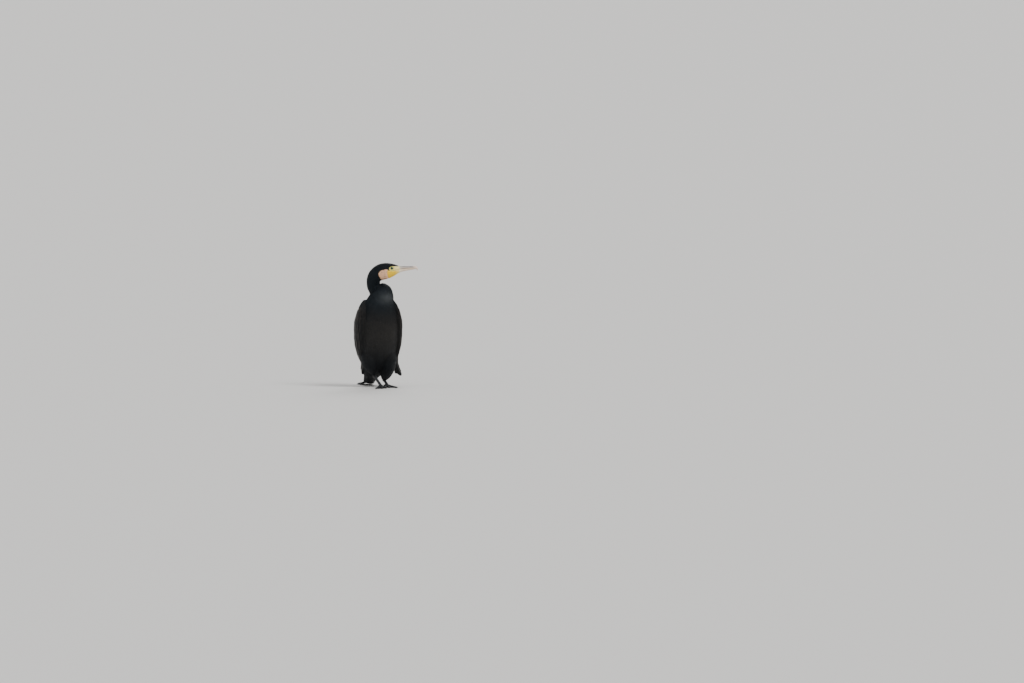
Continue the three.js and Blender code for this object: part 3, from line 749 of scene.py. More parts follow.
cores = [wingCore(hand) for hand in ("left", "right")]
corePoints = np.concatenate([meshArrays(core.data)[0] for core in cores])
onLeftCore = len(cores[0].data.vertices)
coreCorners = np.concatenate([trianglesOf(cores[0]), trianglesOf(cores[1]) + onLeftCore])
coreTree = BVHTree.FromPolygons(corePoints.tolist(), coreCorners.tolist())
surfaceCorners = np.concatenate([skinCorners, coreCorners + len(skinPoints)])
surfacePoints = np.concatenate([skinPoints, corePoints])
surfaceTree = BVHTree.FromPolygons(surfacePoints.tolist(), surfaceCorners.tolist())

# Body feathers, set on the skin as close as their size asks

coat = {
    "run": [0, 30, 70, 120, 190, 240, 330, 430, 560],  # from the bill along the coat's line
    "spacing": [0.9, 1.0, 1.1, 1.25, 1.5, 1.8, 2.0, 2.1, 2.3],
    "tries": 5,
    "back": 6.0,
    "length": 4.6,
    "width": 0.62,
    "lift": [0.0, 0.42, 0.82, 0.98],
    "thick": 0.13,
    "fleckCount": 150,
    "shoulder": 299,  # above this height the coat also covers the wings
    "shoulderBand": (272, 330),
    "shoulderReach": 9,
    "reach": 2.5,
    "overWing": 1.5,
    "cover": 12,
    "underWing": 16,
    "clear": 0.05,
    "billFrom": 75,
}


def backShare(points, normals):
    # Where the mantle's larger scalloped feathers lie, between the wings
    middle = 1 - smoothStep(np.abs(points[:, 0] + 3), 60, 80)
    height = points[:, 2]
    back = smoothStep(normals[:, 1], 0.1, 0.3) * smoothStep(height, 70, 90)
    return back * (height < 308) * middle


def spacingAt(points, normals):
    small = np.interp(coatRun[nearestOnLine(points)], coat["run"], coat["spacing"])
    return np.where(backShare(points, normals) > 0.5, coat["back"], small)


def scattered():
    # Random places on the skin and the shoulders, each kept only where no kept one is too near
    corners = surfacePoints[surfaceCorners]
    turn = np.cross(corners[:, 1] - corners[:, 0], corners[:, 2] - corners[:, 0])
    area = np.linalg.norm(turn, axis=1) / 2
    normals = unit(turn)
    for i in range(len(skinCorners), len(corners)):
        start = corners[i].mean(0) + normals[i] * coat["clear"]
        covered = surfaceTree.ray_cast(start, normals[i], coat["cover"])[0] is not None
        area[i] *= start[2] > coat["shoulder"] and not covered
    spacing = spacingAt(corners.mean(1), normals)
    tries = area * coat["tries"] / spacing**2
    chosen = np.repeat(np.arange(len(area)), (tries + rng.random(len(area))).astype(int))
    chosen = chosen[rng.permutation(len(chosen))]
    share = rng.random((len(chosen), 2))
    share = np.where(share.sum(1, keepdims=True) > 1, 1 - share, share)
    a, b, c = corners[chosen].transpose(1, 0, 2)
    places = a + (b - a) * share[:, :1] + (c - a) * share[:, 1:]
    tree = KDTree(len(places))
    for i, place in enumerate(places):
        tree.insert(place, i)
    tree.balance()
    free = np.ones(len(places), bool)
    kept = []
    for i, place in enumerate(places):
        if free[i]:
            kept.append(i)
            free[[found[1] for found in tree.find_range(place, spacing[chosen[i]])]] = False
    return places[kept], normals[chosen[kept]], spacing[chosen[kept]]


def hidden(places, normals):
    # Under a wing, on the bare face, in the bill, or below the floor
    starts = places + normals * coat["clear"]
    rays = [coreTree.ray_cast(p, n, coat["underWing"]) for p, n in zip(starts, normals)]
    under = np.array([spot is not None for spot, *_ in rays])
    along, _, up = headPlace(places)
    bare = (along > coat["billFrom"]) | (bareShare(along, up) > 0.5)
    bare = bare & (places[:, 2] > headFrom)
    return under | bare | (places[:, 2] < 1)


places, normals, spacing = scattered()
shown = ~hidden(places, normals)
places, normals, spacing = places[shown], normals[shown], spacing[shown]
print("body feathers:", len(places))


def outermost(points, normals):
    # The coat's ground at each point: the skin, or a wing where it lies over the skin
    found = np.empty((len(points), 7))
    low, high = coat["shoulderBand"]
    for i, (point, normal) in enumerate(zip(points, normals)):
        reach = coat["shoulderReach"] if low < point[2] < high else coat["reach"]
        spot, way, face, _ = surfaceTree.ray_cast(point + normal * reach, -normal, 2 * reach)
        if spot is None:
            spot, way, face, _ = surfaceTree.find_nearest(point)
        found[i] = *spot, *way, face >= len(skinCorners)
    return found[:, :3], found[:, 3:6], found[:, 6]


def layFeathers(places, normals, spacing, shape, vane):
    # Feathers rooted on the skin, each following the ground under it
    count = len(places)
    length = spacing * shape["length"] * rng.uniform(0.85, 1.15, count)
    way = lieOfCoat(places, normals)
    drift = np.sin(places[:, 0] / 13 + places[:, 2] / 19) * 0.1
    turn = rng.normal(0, 0.1, count) + drift
    way = unit(way + np.cross(normals, way) * turn[:, None])
    rows = vane["rows"]
    at = places[:, None] + way[:, None] * (rows[None] * length[:, None])[..., None]
    flat = at.reshape(-1, 3)
    ground, out, overWing = outermost(flat, np.repeat(normals, len(rows), axis=0))
    out = unit(out.reshape(at.shape) * 0.5 + normals[:, None] * 0.5)
    depth = np.interp(places[:, 2], skin["height"], skin["depth"]) - 0.25
    lift = np.asarray(shape["lift"]) * (depth + rng.uniform(-0.1, 0.12, count))[:, None]
    lift = lift + overWing.reshape(lift.shape) * coat["overWing"]
    at = ground.reshape(at.shape) + out * lift[..., None]
    over = unit(np.cross(out, np.gradient(at, axis=1)))
    half = (spacing * shape["width"])[:, None] * vane["wide"]
    roll = rng.normal(0, 0.04, count)
    return vanePoints(at, over, out, half, shape["thick"], vane["profile"], roll, 0.01)


def featherTints(places, normals):
    # Each feather has its own shade, and darkens to its tip
    ragged = rng.uniform(0.72, 1.35, len(places))
    tint = plumageTint(places, normals) * ragged[:, None]
    fall = np.linspace(1.15, 0.8, len(plainVane["rows"]))
    return tint[:, None, None] * fall[None, :, None, None]


large = backShare(places, normals) > 0.5
small = ~large
points = layFeathers(places[small], normals[small], spacing[small], coat, plainVane)
tints = featherTints(places[small], normals[small])
tints = np.broadcast_to(tints, (*points.shape[:3], 3))
maps = skinMap(places[small])
height = places[small, 2]
bands = {
    "headFeathers": (headFrom, 500),
    "neckFeathers": (318, headFrom),
    "breastFeathers": (190, 318),
    "bellyFeathers": (0, 190),
}
for name, (low, high) in bands.items():
    at = (height > low) & (height <= high)
    vanePiece(name, points[at], plainVane, tints[at], maps[at], bodyPlumage)

mantle = {
    "length": 2.6,
    "width": 0.82,
    "lift": np.interp(fineVane["rows"], [0, 0.4, 1], [0.0, 0.7, 1.3]),
    "thick": 0.4,
}
points = layFeathers(places[large], normals[large], spacing[large], mantle, fineVane)
count = len(points)
tints = rimmedTints(colours["mantle"], rng.uniform(0.7, 1.2, count))
maps = skinMap(places[large])
vanePiece("mantleFeathers", points, fineVane, tints, maps, wingPlumage)

# A few pale hair-thin feathers on the breast and flanks
height = places[:, 2]
onBreast = np.flatnonzero((normals[:, 1] < -0.15) & (height > 120) & (height < 345))
hair = {**coat, "length": 1.3, "width": 0.06, "lift": [0.2, 1.2, 1.5, 1.35], "thick": 0.14}
picked = rng.choice(onBreast, coat["fleckCount"], replace=False)
points = layFeathers(places[picked], normals[picked], spacing[picked], hair, plainVane)
ragged = rng.uniform(0.3, 1.2, (len(points), 1, 1, 1))
tints = np.broadcast_to(colours["fleck"], (*points.shape[:3], 3)) * ragged
maps = skinMap(places[picked])
vanePiece("paleHairs", points, plainVane, tints, maps, bodyPlumage)
print("body feathers set,", count, "on the mantle")

# The wings' feathers


def wingFrames(hand, root, tip, rise):
    # Each feather's line from root to tip over the wing, with its own across and out
    t = fineVane["rows"][None]
    along = root[:, :1] * (1 - t) + tip[:, :1] * t
    over = root[:, 1:] * (1 - t) + tip[:, 1:] * t
    height = wingDepth(along, over) + np.interp(t, [0, 0.26, 1], rise)
    height = height - smoothStep(over, 1.0, 1.12) * edging["sunk"]
    at = onWing(hand, along, over, height)
    way = unit(np.gradient(at, axis=1))
    beyond, before = (onWing(hand, along, over + step, height) for step in (0.02, -0.02))
    across = beyond - before
    across = unit(across - way * np.sum(across * way, -1, keepdims=True))
    out = np.cross(way, across)
    facing = np.sum(out * (onWing(hand, along, over, height + 1) - at), -1, keepdims=True)
    return at, across, out * np.sign(facing)


# Rows of coverts by where their tips lie along the wing; widths in mm
covertRows = {
    "tip": [0.045, 0.08, 0.12, 0.165, 0.215, 0.27, 0.335, 0.405, 0.485, 0.575],
    "long": [0.07, 0.08, 0.09, 0.10, 0.11, 0.12, 0.13, 0.14, 0.15, 0.18],
    "count": [14, 14, 14, 13, 13, 12, 12, 12, 11, 11],
    "wide": [10, 11, 12, 13.5, 15, 16, 16.5, 17, 17, 16],
    "rise": (-1.4, 0.4, 1.3),
    "thick": 0.45,
    "roll": 0.055,
}
longFeathers = {
    "secondaries": {
        "count": 12,
        "root": ((0.5, 0.92), (0.42, 0.12)),
        "tip": ((0.86, 0.76), (0.72, 0.05)),
        "bulge": 0.09,
        "wide": 13,
        "rise": (-2.5, 0.0, 1.2),
        "tone": 1.0,
        "thick": 0.55,
        "roll": 0.07,
    },
    "primaries": {
        "count": 9,
        "root": ((0.56, 0.9), (0.56, 0.45)),
        "tip": ((0.95, 0.96), (1.0, 0.48)),
        "bulge": 0,
        "wide": 12,
        "rise": (-3, -1.6, -0.4),
        "tone": 0.4,
        "thick": 0.55,
        "roll": 0.07,
    },
}
scapulars = {
    "rows": ((0.15, 0.11), (0.08, 0.02)),
    "count": 9,
    "long": 0.17,
    "wide": 17,
    "rise": (-1.0, 1.4, 2.3),
    "thick": 0.5,
    "roll": 0.05,
}
# Small feathers along the wing's front edge, their roots sunk into the breast
edging = {
    "rows": (1.0, 1.035, 1.07),
    "count": 46,
    "long": 0.075,
    "slant": 0.05,
    "sunk": 11.0,
    "wide": 8,
    "rise": (-1.6, 0.2, 1.0),
    "thick": 0.35,
    "roll": 0.03,
}
vaneCup = 0.007


def halfWidths(count, wide):
    return np.full((count, 1), wide / 2) * fineVane["wide"][None]


def addVanes(batch, hand, root, tip, shape, tint):
    count = len(root)
    at, across, out = wingFrames(hand, root, tip, shape["rise"])
    half = halfWidths(count, shape["wide"])
    roll = np.full(count, -shape["roll"])
    profile = fineVane["profile"]
    made = vanePoints(at, across, out, half, shape["thick"], profile, roll, vaneCup)
    batch["points"].append(made)
    batch["tints"].append(rimmedTints(tint, rng.uniform(0.75, 1.25, count)))
    batch["maps"].append(np.stack([tip[:, 1], root[:, 0]], -1) * 0.85 + 0.06)


def featheredWing(hand):
    batch = {"points": [], "tints": [], "maps": []}
    bronze = np.array(colours["mantle"])
    rowSizes = zip(*(covertRows[key] for key in ("tip", "long", "count", "wide")))
    for number, (tipAt, long, count, wide) in enumerate(rowSizes):
        spread = (np.arange(count) + 0.5 * (number % 2)) / (count - 0.5)
        over = 0.985 - spread * 0.95
        tips = tipAt + 0.012 * np.sin(math.pi * spread) + rng.normal(0, 0.004, count)
        tip = np.stack([tips, over], -1)
        root = np.stack([tips - long, over * 0.94 + 0.03], -1)
        addVanes(batch, hand, root, tip, {**covertRows, "wide": wide}, bronze)
    for tier in longFeathers.values():
        share = np.linspace(0, 1, tier["count"])[:, None]
        root = np.array(tier["root"][0]) * (1 - share) + np.array(tier["root"][1]) * share
        tip = np.array(tier["tip"][0]) * (1 - share) + np.array(tier["tip"][1]) * share
        tip[:, 0] += np.sin(math.pi * share[:, 0]) * tier["bulge"]
        addVanes(batch, hand, root, tip, tier, bronze * tier["tone"])
    for column, (rootOver, tipOver) in enumerate(scapulars["rows"]):
        count = scapulars["count"]
        tips = np.linspace(0.16, 0.7, count) + 0.03 * column
        tip = np.stack([tips, np.linspace(tipOver, tipOver + 0.05, count)], -1)
        root = np.stack([tips - scapulars["long"], np.full(count, rootOver + 0.04)], -1)
        addVanes(batch, hand, root, tip, scapulars, bronze)
    for column, over in enumerate(edging["rows"]):
        count = edging["count"]
        tips = np.linspace(0.03, 0.9, count) + 0.006 * column + rng.normal(0, 0.003, count)
        tip = np.stack([tips, np.full(count, over - 0.03)], -1)
        root = np.stack([tips - edging["long"], np.full(count, over + edging["slant"])], -1)
        addVanes(batch, hand, root, tip, edging, colours["breast"])
    points, tints, maps = (np.concatenate(batch[key]) for key in ("points", "tints", "maps"))
    name = f"wingFeathers{hand.title()}"
    piece = vanePiece(name, points, fineVane, tints, maps, wingPlumage)
    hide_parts(f"wing_{hand}")
    print(hand, "wing:", len(points), "feathers")


for hand in ("left", "right"):
    featheredWing(hand)

# Tail

tail = {
    "pairs": 7,
    "fan": 1.0,  # degrees from one feather to the next
    "apart": 1.6,
    "step": 0.85,
    "wide": 15.0,
    "thick": 0.6,
    "cup": 0.004,
    "paler": 1.6,
    "lift": 2.3,
    "leftOver": 0.4,  # the left half lies over the right
    "start": 0.12,
    "fanFrom": 108,
}
tailLine = [(0, 96, 42), (0, 118, 30), (0, 150, 15), (0, 190, 6), (0, 226, 3.6), (0, 262, 3.2)]


def tailShaft(side, rank):
    turn = math.radians(side * (rank + 0.5) * tail["fan"])
    length = 1 - 0.17 * (rank / (tail["pairs"] - 1)) ** 1.7
    shares = tail["start"] + (length - tail["start"]) * fineVane["rows"]
    middle = curveThrough(tailLine, shares)
    x = side * (rank + 0.5) * tail["apart"]
    x = x + (middle[:, 1] - tail["fanFrom"]) * math.tan(turn)
    z = middle[:, 2] + tail["lift"] - rank * tail["step"]
    z = z + (tail["leftOver"] if side > 0 else 0)
    return np.stack([x, middle[:, 1], z], -1)


ranks = range(tail["pairs"])
at = np.stack([tailShaft(side, rank) for side in (-1, 1) for rank in ranks])
count = len(at)
half = halfWidths(count, tail["wide"])
over = np.broadcast_to([1.0, 0, 0], at.shape)
up = np.broadcast_to(upright, at.shape)
profile, roll = fineVane["profile"], np.zeros(count)
points = vanePoints(at, over, up, half, tail["thick"], profile, roll, tail["cup"])
tailTint = np.array(colours["black"]) * tail["paler"]
tints = rimmedTints(tailTint, rng.uniform(0.8, 1.2, count))
maps = np.stack([np.linspace(0.1, 0.9, count), np.full(count, 0.5)], -1)
tailPiece = vanePiece("tailFeathers", points, fineVane, tints, maps, wingPlumage)
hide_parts("tail")
print("tail:", count, "feathers")

# Face: bare skin round the eyes and under the bill, sunk under the feathers behind

headStations = stationsOf(
    [
        (turned(-2.5, -10, 410), 23, 26.5, 29.3),
        (turned(14, -12.5, 417.5), 21.5, 28.5, 32.3),
        (onMidline(32, 423), 19.5, 29, 29.4),
        (onMidline(49, 426), 17.3, 24.5, 24.5),
        (onMidline(62, 427.8), 13.8, 19, 19),
        (onMidline(76, 429), 9.5, 12.5, 12.5),
        (onMidline(80, 429.4), 8.8, 11.6, 11.6),
    ],
    headSide,
)
face = {
    "start": 0.1,
    "rows": 230,
    "sides": 180,
    "mouth": 0.5,
    "mouthDeep": 0.9,
    "sunk": 1.9,
    "rise": (2.2, 0.2),
    "fold": 0.12,
    "eyeHole": (3.4, (3.9, 5.1)),
    "eyeDip": (1.7, (5, 11)),
    "horn": (74.5, 3.6),
    "hornDeep": (2.4, (0, 3.5)),
    "rim": (0.42, 0.40, 0.16),
}


def mouthLine(along):
    return 428.6 + (along - 76) * 0.17 - np.maximum(0, 60 - along) * 0.1


def makeFace():
    cut, grid = gridRound(headStations, face["rows"], face["sides"], face["start"])
    along, out, up = headPlace(grid)
    gular, ring = faceShare("gular", along, up), faceShare("ring", along, up)
    toEye = eyeDistance(grid)
    rising = [faceShare(name, along, up, *face["rise"]) for name in ("gular", "ring")]
    sink = face["sunk"] * (1 - np.maximum(*rising))
    for deep, edge in (face["eyeHole"], face["eyeDip"]):
        sink = sink + deep * (1 - smoothStep(toEye, *edge))
    mouth = np.exp(-(((up - mouthLine(along)) / face["mouth"]) ** 2)) * smoothStep(along, 41, 46)
    sink = sink + face["mouthDeep"] * mouth
    # Folds run along the bare skin under the bill, crossed by finer ones
    around = np.arctan2(out, up - 426)
    lengthwise = np.sin(around * 46 + np.sin(along / 5) * 2)
    crosswise = np.sin(along * 1.9 + up * 0.7)
    sink = sink + (lengthwise * 0.6 + crosswise * 0.4) * face["fold"] * gular
    # The horn of the bill starts along a line that runs back at the mouth
    start, bend = face["horn"]
    hornLine = start + bend * ((up - 429) / 11) ** 2
    deep, edge = face["hornDeep"]
    sink = sink + deep * smoothStep(along - hornLine, *edge)
    plain = {name: np.broadcast_to(np.array(tone), grid.shape) for name, tone in colours.items()}
    tint = mixed(plain["black"], colours["cheek"], faceShare("cheek", along, up))
    golden = mixed(plain["gular"], colours["gularPale"], smoothStep(along, 58, 80))
    tint = mixed(tint, golden, gular)
    pale = mixed(plain["ring"], colours["lore"], smoothStep(along, 50, 66))
    pale = mixed(pale, face["rim"], np.exp(-(((toEye - 6.4) / 0.8) ** 2)) * 0.6)
    tint = mixed(tint, pale, ring)
    tint = mixed(tint, colours["mouth"], mouth * 0.85)
    pores = rng.uniform(0.94, 1.05, grid.shape[:2])
    outward = unit(grid - cut["at"])
    piece = tube("face", grid - outward * sink[..., None], bareFace)
    paintTube(piece, tint * pores[..., None])


makeFace()

# Eyes, with two rings of small beads as lids


def eyeball(sign):
    polar = np.linspace(0, math.pi, 42)[1:-1, None]
    turn = np.linspace(0, tau, 48, endpoint=False)[None]
    circle = headForward * np.cos(turn)[..., None] + upright * np.sin(turn)[..., None]
    outward = headSide * sign * np.cos(polar)[..., None] + circle * np.sin(polar)[..., None]
    aside = eye["radius"] * np.sin(polar) + 0 * turn
    pupilEdge, irisEdge = eye["pupil"], eye["iris"]
    iris = smoothStep(aside, pupilEdge, pupilEdge + 0.25)
    iris = iris * (1 - smoothStep(aside, irisEdge - 0.5, irisEdge))
    spokes = 0.75 + 0.25 * np.sin(turn * 37 + 3 * np.sin(turn * 5))
    iris = iris * (np.cos(polar) > 0) * spokes
    tint = mixed(np.full(outward.shape, eye["dark"]), eye["green"], iris)
    ball = eyeMiddle(sign) + outward * eye["radius"]
    piece = tube(f"eyeball{'Left' if sign > 0 else 'Right'}", ball, eyeGloss)
    paintTube(piece, tint)
    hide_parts("eye_left" if sign > 0 else "eye_right")


def beadTree(material):
    # Flattened beads along a wire, turned along it
    tree = bpy.data.node_groups.new("beads", "GeometryNodeTree")
    tree.interface.new_socket("Geometry", in_out="INPUT", socket_type="NodeSocketGeometry")
    tree.interface.new_socket("Count", in_out="INPUT", socket_type="NodeSocketInt")
    for name in ("Size", "Flat", "Broad"):
        tree.interface.new_socket(name, in_out="INPUT", socket_type="NodeSocketFloat")
    tree.interface.new_socket("Geometry", in_out="OUTPUT", socket_type="NodeSocketGeometry")
    nodes, links = tree.nodes, tree.links
    source, result = nodes.new("NodeGroupInput"), nodes.new("NodeGroupOutput")
    wire = nodes.new("GeometryNodeMeshToCurve")
    spread = nodes.new("GeometryNodeResampleCurve")
    bead = nodes.new("GeometryNodeMeshUVSphere")
    bead.inputs["Segments"].default_value = 8
    bead.inputs["Rings"].default_value = 5
    size = nodes.new("ShaderNodeCombineXYZ")
    size.inputs["X"].default_value = 1.0
    tangent = nodes.new("GeometryNodeInputTangent")
    align = nodes.new("FunctionNodeAlignRotationToVector")
    align.axis = "X"
    place = nodes.new("GeometryNodeInstanceOnPoints")
    realize = nodes.new("GeometryNodeRealizeInstances")
    finish = nodes.new("GeometryNodeSetMaterial")
    finish.inputs["Material"].default_value = material
    for start, output, end, socket in (
        (source, "Geometry", wire, "Mesh"),
        (wire, "Curve", spread, "Curve"),
        (source, "Count", spread, "Count"),
        (source, "Size", bead, "Radius"),
        (source, "Flat", size, "Z"),
        (source, "Broad", size, "Y"),
        (tangent, "Tangent", align, "Vector"),
        (spread, "Curve", place, "Points"),
        (bead, "Mesh", place, "Instance"),
        (align, "Rotation", place, "Rotation"),
        (size, "Vector", place, "Scale"),
        (place, "Instances", realize, "Geometry"),
        (realize, "Geometry", finish, "Geometry"),
        (finish, "Geometry", result, "Geometry"),
    ):
        links.new(start.outputs[output], end.inputs[socket])
    return tree


def beadsAlong(name, lines, settings, material, tint):
    # One plain mesh of beads along open lines of points
    tree = beadTree(material)
    whole = bmesh.new()
    for line in lines:
        mesh = bpy.data.meshes.new(name)
        wire = [(i, i + 1) for i in range(len(line) - 1)]
        mesh.from_pydata(np.asarray(line) * mm + frameShift, wire, [])
        holder = inScene(name, mesh)
        modifier = holder.modifiers.new("beads", "NODES")
        modifier.node_group = tree
        for item in tree.interface.items_tree:
            if item.in_out == "INPUT" and item.name in settings:
                modifier[item.identifier] = settings[item.name]
        made = evaluatedMesh(holder)
        whole.from_mesh(made)
        bpy.data.meshes.remove(made)
        bpy.data.objects.remove(holder)
    mesh = bpy.data.meshes.new(name)
    whole.to_mesh(mesh)
    whole.free()
    piece = finishObject(name, mesh, material)
    paint(piece, tint)


innerTint, outerTint = (0.10, 0.14, 0.10), (0.50, 0.48, 0.20)
lids = {
    "eyelidInner": {"ring": 4.7, "out": 3.95, "bead": 0.42, "count": 44, "tint": innerTint},
    "eyelidOuter": {"ring": 5.55, "out": 3.5, "bead": 0.55, "count": 40, "tint": outerTint},
}


def lidRing(sign, lid):
    turn = np.linspace(0, tau, 49)[:, None]
    circle = headForward * np.cos(turn) + upright * np.sin(turn) * 0.94
    return eyeMiddle(sign) + circle * lid["ring"] + headSide * sign * lid["out"]


for sign in (-1, 1):
    eyeball(sign)
for name, lid in lids.items():
    settings = {"Count": lid["count"], "Size": lid["bead"] * mm, "Flat": 0.9, "Broad": 0.9}
    rings = [lidRing(-1, lid), lidRing(1, lid)]
    beadsAlong(name, rings, settings, bareFace, lid["tint"])
print("face and eyes made")

# Bill


def alongBill(rows):
    # Each row: along and up, then the sizes
    places = [(onMidline(along, up), *sizes) for along, up, *sizes in rows]
    return stationsOf(places, -headSide)


upperBill = alongBill(
    [
        (66, 431, 9, 8.5, 3),
        (76, 431.8, 8.6, 9.0, 3),
        (84, 432.6, 7.1, 7.5, 2.7),
        (97, 433.2, 5.7, 6.4, 2.5),
        (112, 433.7, 5, 5.8, 2.3),
        (126, 434.3, 4.6, 5.8, 2.2),
        (134.5, 434, 4, 5.6, 2.6),
        (139, 431.2, 2.9, 3.4, 2.5),
        (140.8, 426.8, 1.6, 1.5, 1.7),
        (140, 423.4, 0.5, 0.5, 0.5),
    ]
)
lowerBill = alongBill(
    [
        (66, 425, 9.2, 2.6, 8.5),
        (76, 425.7, 8.2, 2.6, 8.7),
        (86, 427.4, 6.6, 2.3, 7.6),
        (98, 428.9, 5.2, 2, 6.3),
        (114, 430.3, 4.4, 1.8, 4.7),
        (128, 431, 3.8, 1.6, 3.3),
        (134.5, 431.4, 2.2, 1.2, 1.5),
    ]
)
# The groove along each side of the bill, and how far the pale base reaches
groove = {"angle": 62, "wide": 8, "ends": (0.62, 0.78), "bill_upper": 0.75, "bill_lower": 0.15}
baseShare = {"bill_upper": 0.35, "bill_lower": 0.8}
horn = {
    "culmen": (0.17, 0.145, 0.14),
    "side": (0.52, 0.44, 0.37),
    "lower": (0.76, 0.60, 0.46),
    "nail": (0.78, 0.62, 0.52),
    "base": (0.86, 0.78, 0.60),
    "seam": (0.25, 0.20, 0.16),
}


def makeBill(name, stations, square, node):
    upper = node == "bill_upper"
    shares = np.linspace(0, 1, 130)[:, None]
    angles = np.linspace(0, tau, 64, endpoint=False)[None]
    cut = section(stations, shares)
    fromTop = np.abs((angles + math.pi) % tau - math.pi)
    fold = (fromTop - math.radians(groove["angle"])) / math.radians(groove["wide"])
    deep = np.exp(-(fold**2)) * (1 - smoothStep(shares, *groove["ends"])) * groove[node]
    grid = onSection(cut, angles + 0 * shares, -deep, square)
    along, _, _ = headPlace(grid)
    height = np.cos(angles) + 0 * shares
    base = np.broadcast_to(np.array(horn["side" if upper else "lower"]), grid.shape)
    if upper:
        ridge = smoothStep(height, 0.1, 0.9) * (1 - smoothStep(along, 118, 134))
        base = mixed(base, horn["culmen"], ridge)
        base = mixed(base, horn["lower"], smoothStep(-height, -0.1, 0.6) * 0.6)
        base = mixed(base, horn["nail"], smoothStep(along, 122, 134))
    base = mixed(base, horn["base"], (1 - smoothStep(along, 76, 92)) * baseShare[node])
    base = mixed(base, horn["seam"], smoothStep(-height if upper else height, 0.55, 0.95) * 0.5)
    # Painted shade: the groove is darkened as much as it is sunk
    base = mixed(base, horn["culmen"], deep * 0.5)
    piece = tube(name, grid, billHorn)
    paintTube(piece, base)
    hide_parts(node)


makeBill("billUpper", upperBill, 2.1, "bill_upper")
makeBill("billLower", lowerBill, 2.2, "bill_lower")
print("bill made")

# Feet and legs: the solids rounded, with rows of scutes and finer claws

feet = {
    "right": {"foot": (3, -20, 9), "ankle": (-7, 40, 40), "heading": -8, "hind": -158, "mirror": -1},
    "left": {"foot": (38, 28, 9), "ankle": (35, 68, 25), "heading": -5, "hind": -130, "mirror": 1},
}
toeAngles = {"inner": -17, "middle": 0, "outer": 16}
toeLengths = {"hind": 24, "inner": 52, "middle": 72, "outer": 86}
toe = {"radius": 3.6, "voxel": 0.75, "swell": 0.25, "smoothing": 5, "tint": (0.016, 0.0175, 0.0195)}
toeScutes = {"Count": 22, "Size": 1.9 * mm, "Flat": 0.42, "Broad": 1.25}
shankScutes = {"Count": 18, "Size": 2.6 * mm, "Flat": 0.4, "Broad": 1.2}
shank = {"from": 0.1, "to": 0.95, "ahead": 4.7}
# Along the claw, each row: distance from the toe's end, height, half width and half height
clawRows = [
    (-2.0, 2.8, 2.2, 2.3),
    (1.5, 3.0, 2.0, 2.2),
    (5, 3.2, 1.5, 1.8),
    (8.2, 2.5, 0.9, 1.1),
    (11, 1, 0.3, 0.35),
]
claw = {"tint": (0.02, 0.019, 0.018), "floor": 0.02}


def toeWay(foot, name):
    turn = math.radians(foot["heading"] + foot["mirror"] * toeAngles.get(name, foot["hind"]))
    return np.array([math.sin(turn), -math.cos(turn), 0])


def floorPlace(foot):
    return np.array([foot["foot"][0], foot["foot"][1], 0.0])


def toeTop(foot, name):
    share = np.linspace(0.12, 0.97, 30)[:, None]
    radius = toe["radius"] * (1.12 - 0.34 * share)
    height = radius * 1.86 + 5.4 * (1 - share) ** 3
    along = toeWay(foot, name) * toeLengths[name] * share
    return floorPlace(foot) + along + upright * height * 0.965


def makeClaw(hand, foot, name):
    way = toeWay(foot, name)
    tip = floorPlace(foot) + way * toeLengths[name]
    rows = []
    for along, up, wide, high in clawRows:
        rows.append((tip + way * along + upright * up, wide, high, high))
    _, grid = gridRound(stationsOf(rows, (-way[1], way[0], 0)), 22, 20)
    grid[..., 2] = np.maximum(grid[..., 2], claw["floor"])
    piece = tube(f"claw{hand.title()}{name.title()}", grid, clawHorn)
    paint(piece, claw["tint"])
    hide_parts(f"claw_{hand}_{name}")


def makeFoot(hand, foot):
    nodes = [f"foot_{hand}", f"leg_{hand}"]
    made = remeshed(swollenCopies(nodes, toe["swell"]), toe["voxel"])
    points, _, edges = meshArrays(made)
    points = smoothed(points, edges, toe["smoothing"])
    points[:, 2] = np.maximum(points[:, 2], 0.0)
    faces = [list(p.vertices) for p in made.polygons]
    piece = makeObject(f"foot{hand.title()}", points, faces, footSkin)
    paint(piece, toe["tint"])
    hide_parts(*nodes)
    for name in toeLengths:
        makeClaw(hand, foot, name)
    pale = np.array(toe["tint"]) * 1.6
    tops = [toeTop(foot, name) for name in toeLengths]
    beadsAlong(f"toeScutes{hand.title()}", tops, toeScutes, footSkin, pale)
    start, end = np.array(foot["foot"], float), np.array(foot["ankle"], float)
    bone = start + (end - start) * np.linspace(shank["from"], shank["to"], 20)[:, None]
    ahead = unit(np.cross(end - start, np.array([1.0, 0, 0])))
    ahead = -ahead * np.sign(ahead[1])
    front = [bone + ahead * shank["ahead"]]
    beadsAlong(f"shankScutes{hand.title()}", front, shankScutes, footSkin, pale)


for hand, foot in feet.items():
    makeFoot(hand, foot)
print("feet made")

# Floor, light and camera

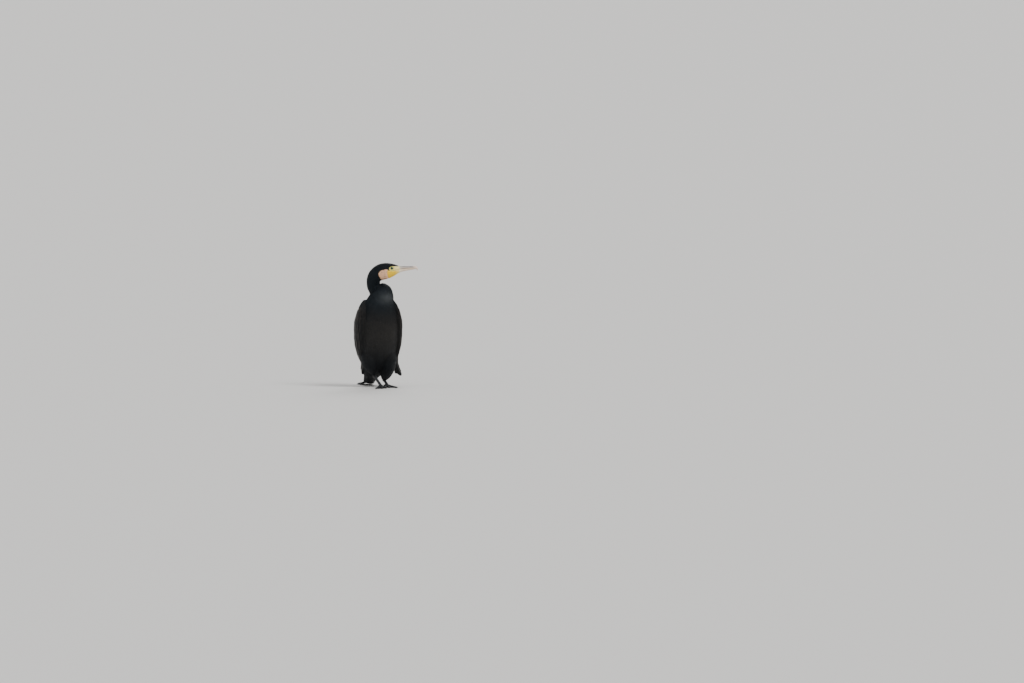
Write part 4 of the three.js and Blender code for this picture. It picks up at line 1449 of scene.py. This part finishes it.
stage = {"floor": (0.66, 0.65, 0.63, 1), "sky": (0.9, 0.9, 0.91, 1), "skyPower": 0.5, "reach": 150}
floorMaterial = newMaterial("floorMaterial", Base_Color=stage["floor"], Roughness=0.8)
floor = bpy.data.meshes.new("floor")
far = stage["reach"]
corners = [(-far, -far, 0), (far, -far, 0), (far, far, 0), (-far, far, 0)]
floor.from_pydata(corners, [], [(0, 1, 2, 3)])
floor.materials.append(floorMaterial)
floorPiece = inScene("floor", floor)

world = bpy.data.worlds.new("studio")
world.use_nodes = True
sky = world.node_tree.nodes["Background"]
sky.inputs["Color"].default_value = stage["sky"]
sky.inputs["Strength"].default_value = stage["skyPower"]
bpy.context.scene.world = world

lights = {
    "key": {"from": (0.9, -1.7, 1.9), "angle": 24, "power": 2.6},
    "fill": {"from": (-1.9, -1.2, 1.0), "angle": 70, "power": 0.7},
    "rim": {"from": (0.9, 1.9, 1.5), "angle": 40, "power": 1.2},
}
for name, light in lights.items():
    lamp = bpy.data.lights.new(name, "SUN")
    lamp.angle = math.radians(light["angle"])
    lamp.energy = light["power"]
    holder = inScene(name, lamp)
    holder.location = light["from"]
    holder.rotation_euler = (-Vector(light["from"])).to_track_quat("-Z", "Y").to_euler()

# The camera keeps the photo's angle and framing: the bird is small and left of the middle
view = {
    "azimuth": -14,
    "elevation": 3,
    "perPixel": 3.6,  # millimetres
    "middle": (512, 341.5),
    "birdAt": (378.4, 387.5),
    "wide": 1024,
    "sensor": 36,
    "lens": 400,
}
turn, tilt = math.radians(view["azimuth"]), math.radians(view["elevation"])
right = np.array([math.cos(turn), math.sin(turn), 0])
level = math.cos(tilt)
look = np.array([-math.sin(turn) * level, math.cos(turn) * level, -math.sin(tilt)])
upward = np.cross(right, look)
aside = (view["middle"][0] - view["birdAt"][0]) * view["perPixel"]
above = (view["birdAt"][1] - view["middle"][1]) * view["perPixel"]
aim = (right * aside + upward * above) * mm + frameShift
distance = view["lens"] / view["sensor"] * view["wide"] * view["perPixel"] * mm
camera = bpy.data.cameras.new("camera")
camera.lens = view["lens"]
camera.clip_end = distance * 10
holder = inScene("camera", camera)
holder.location = Vector(aim - look * distance)
holder.rotation_euler = Vector(look).to_track_quat("-Z", "Y").to_euler()
bpy.context.scene.camera = holder
print("stage set")
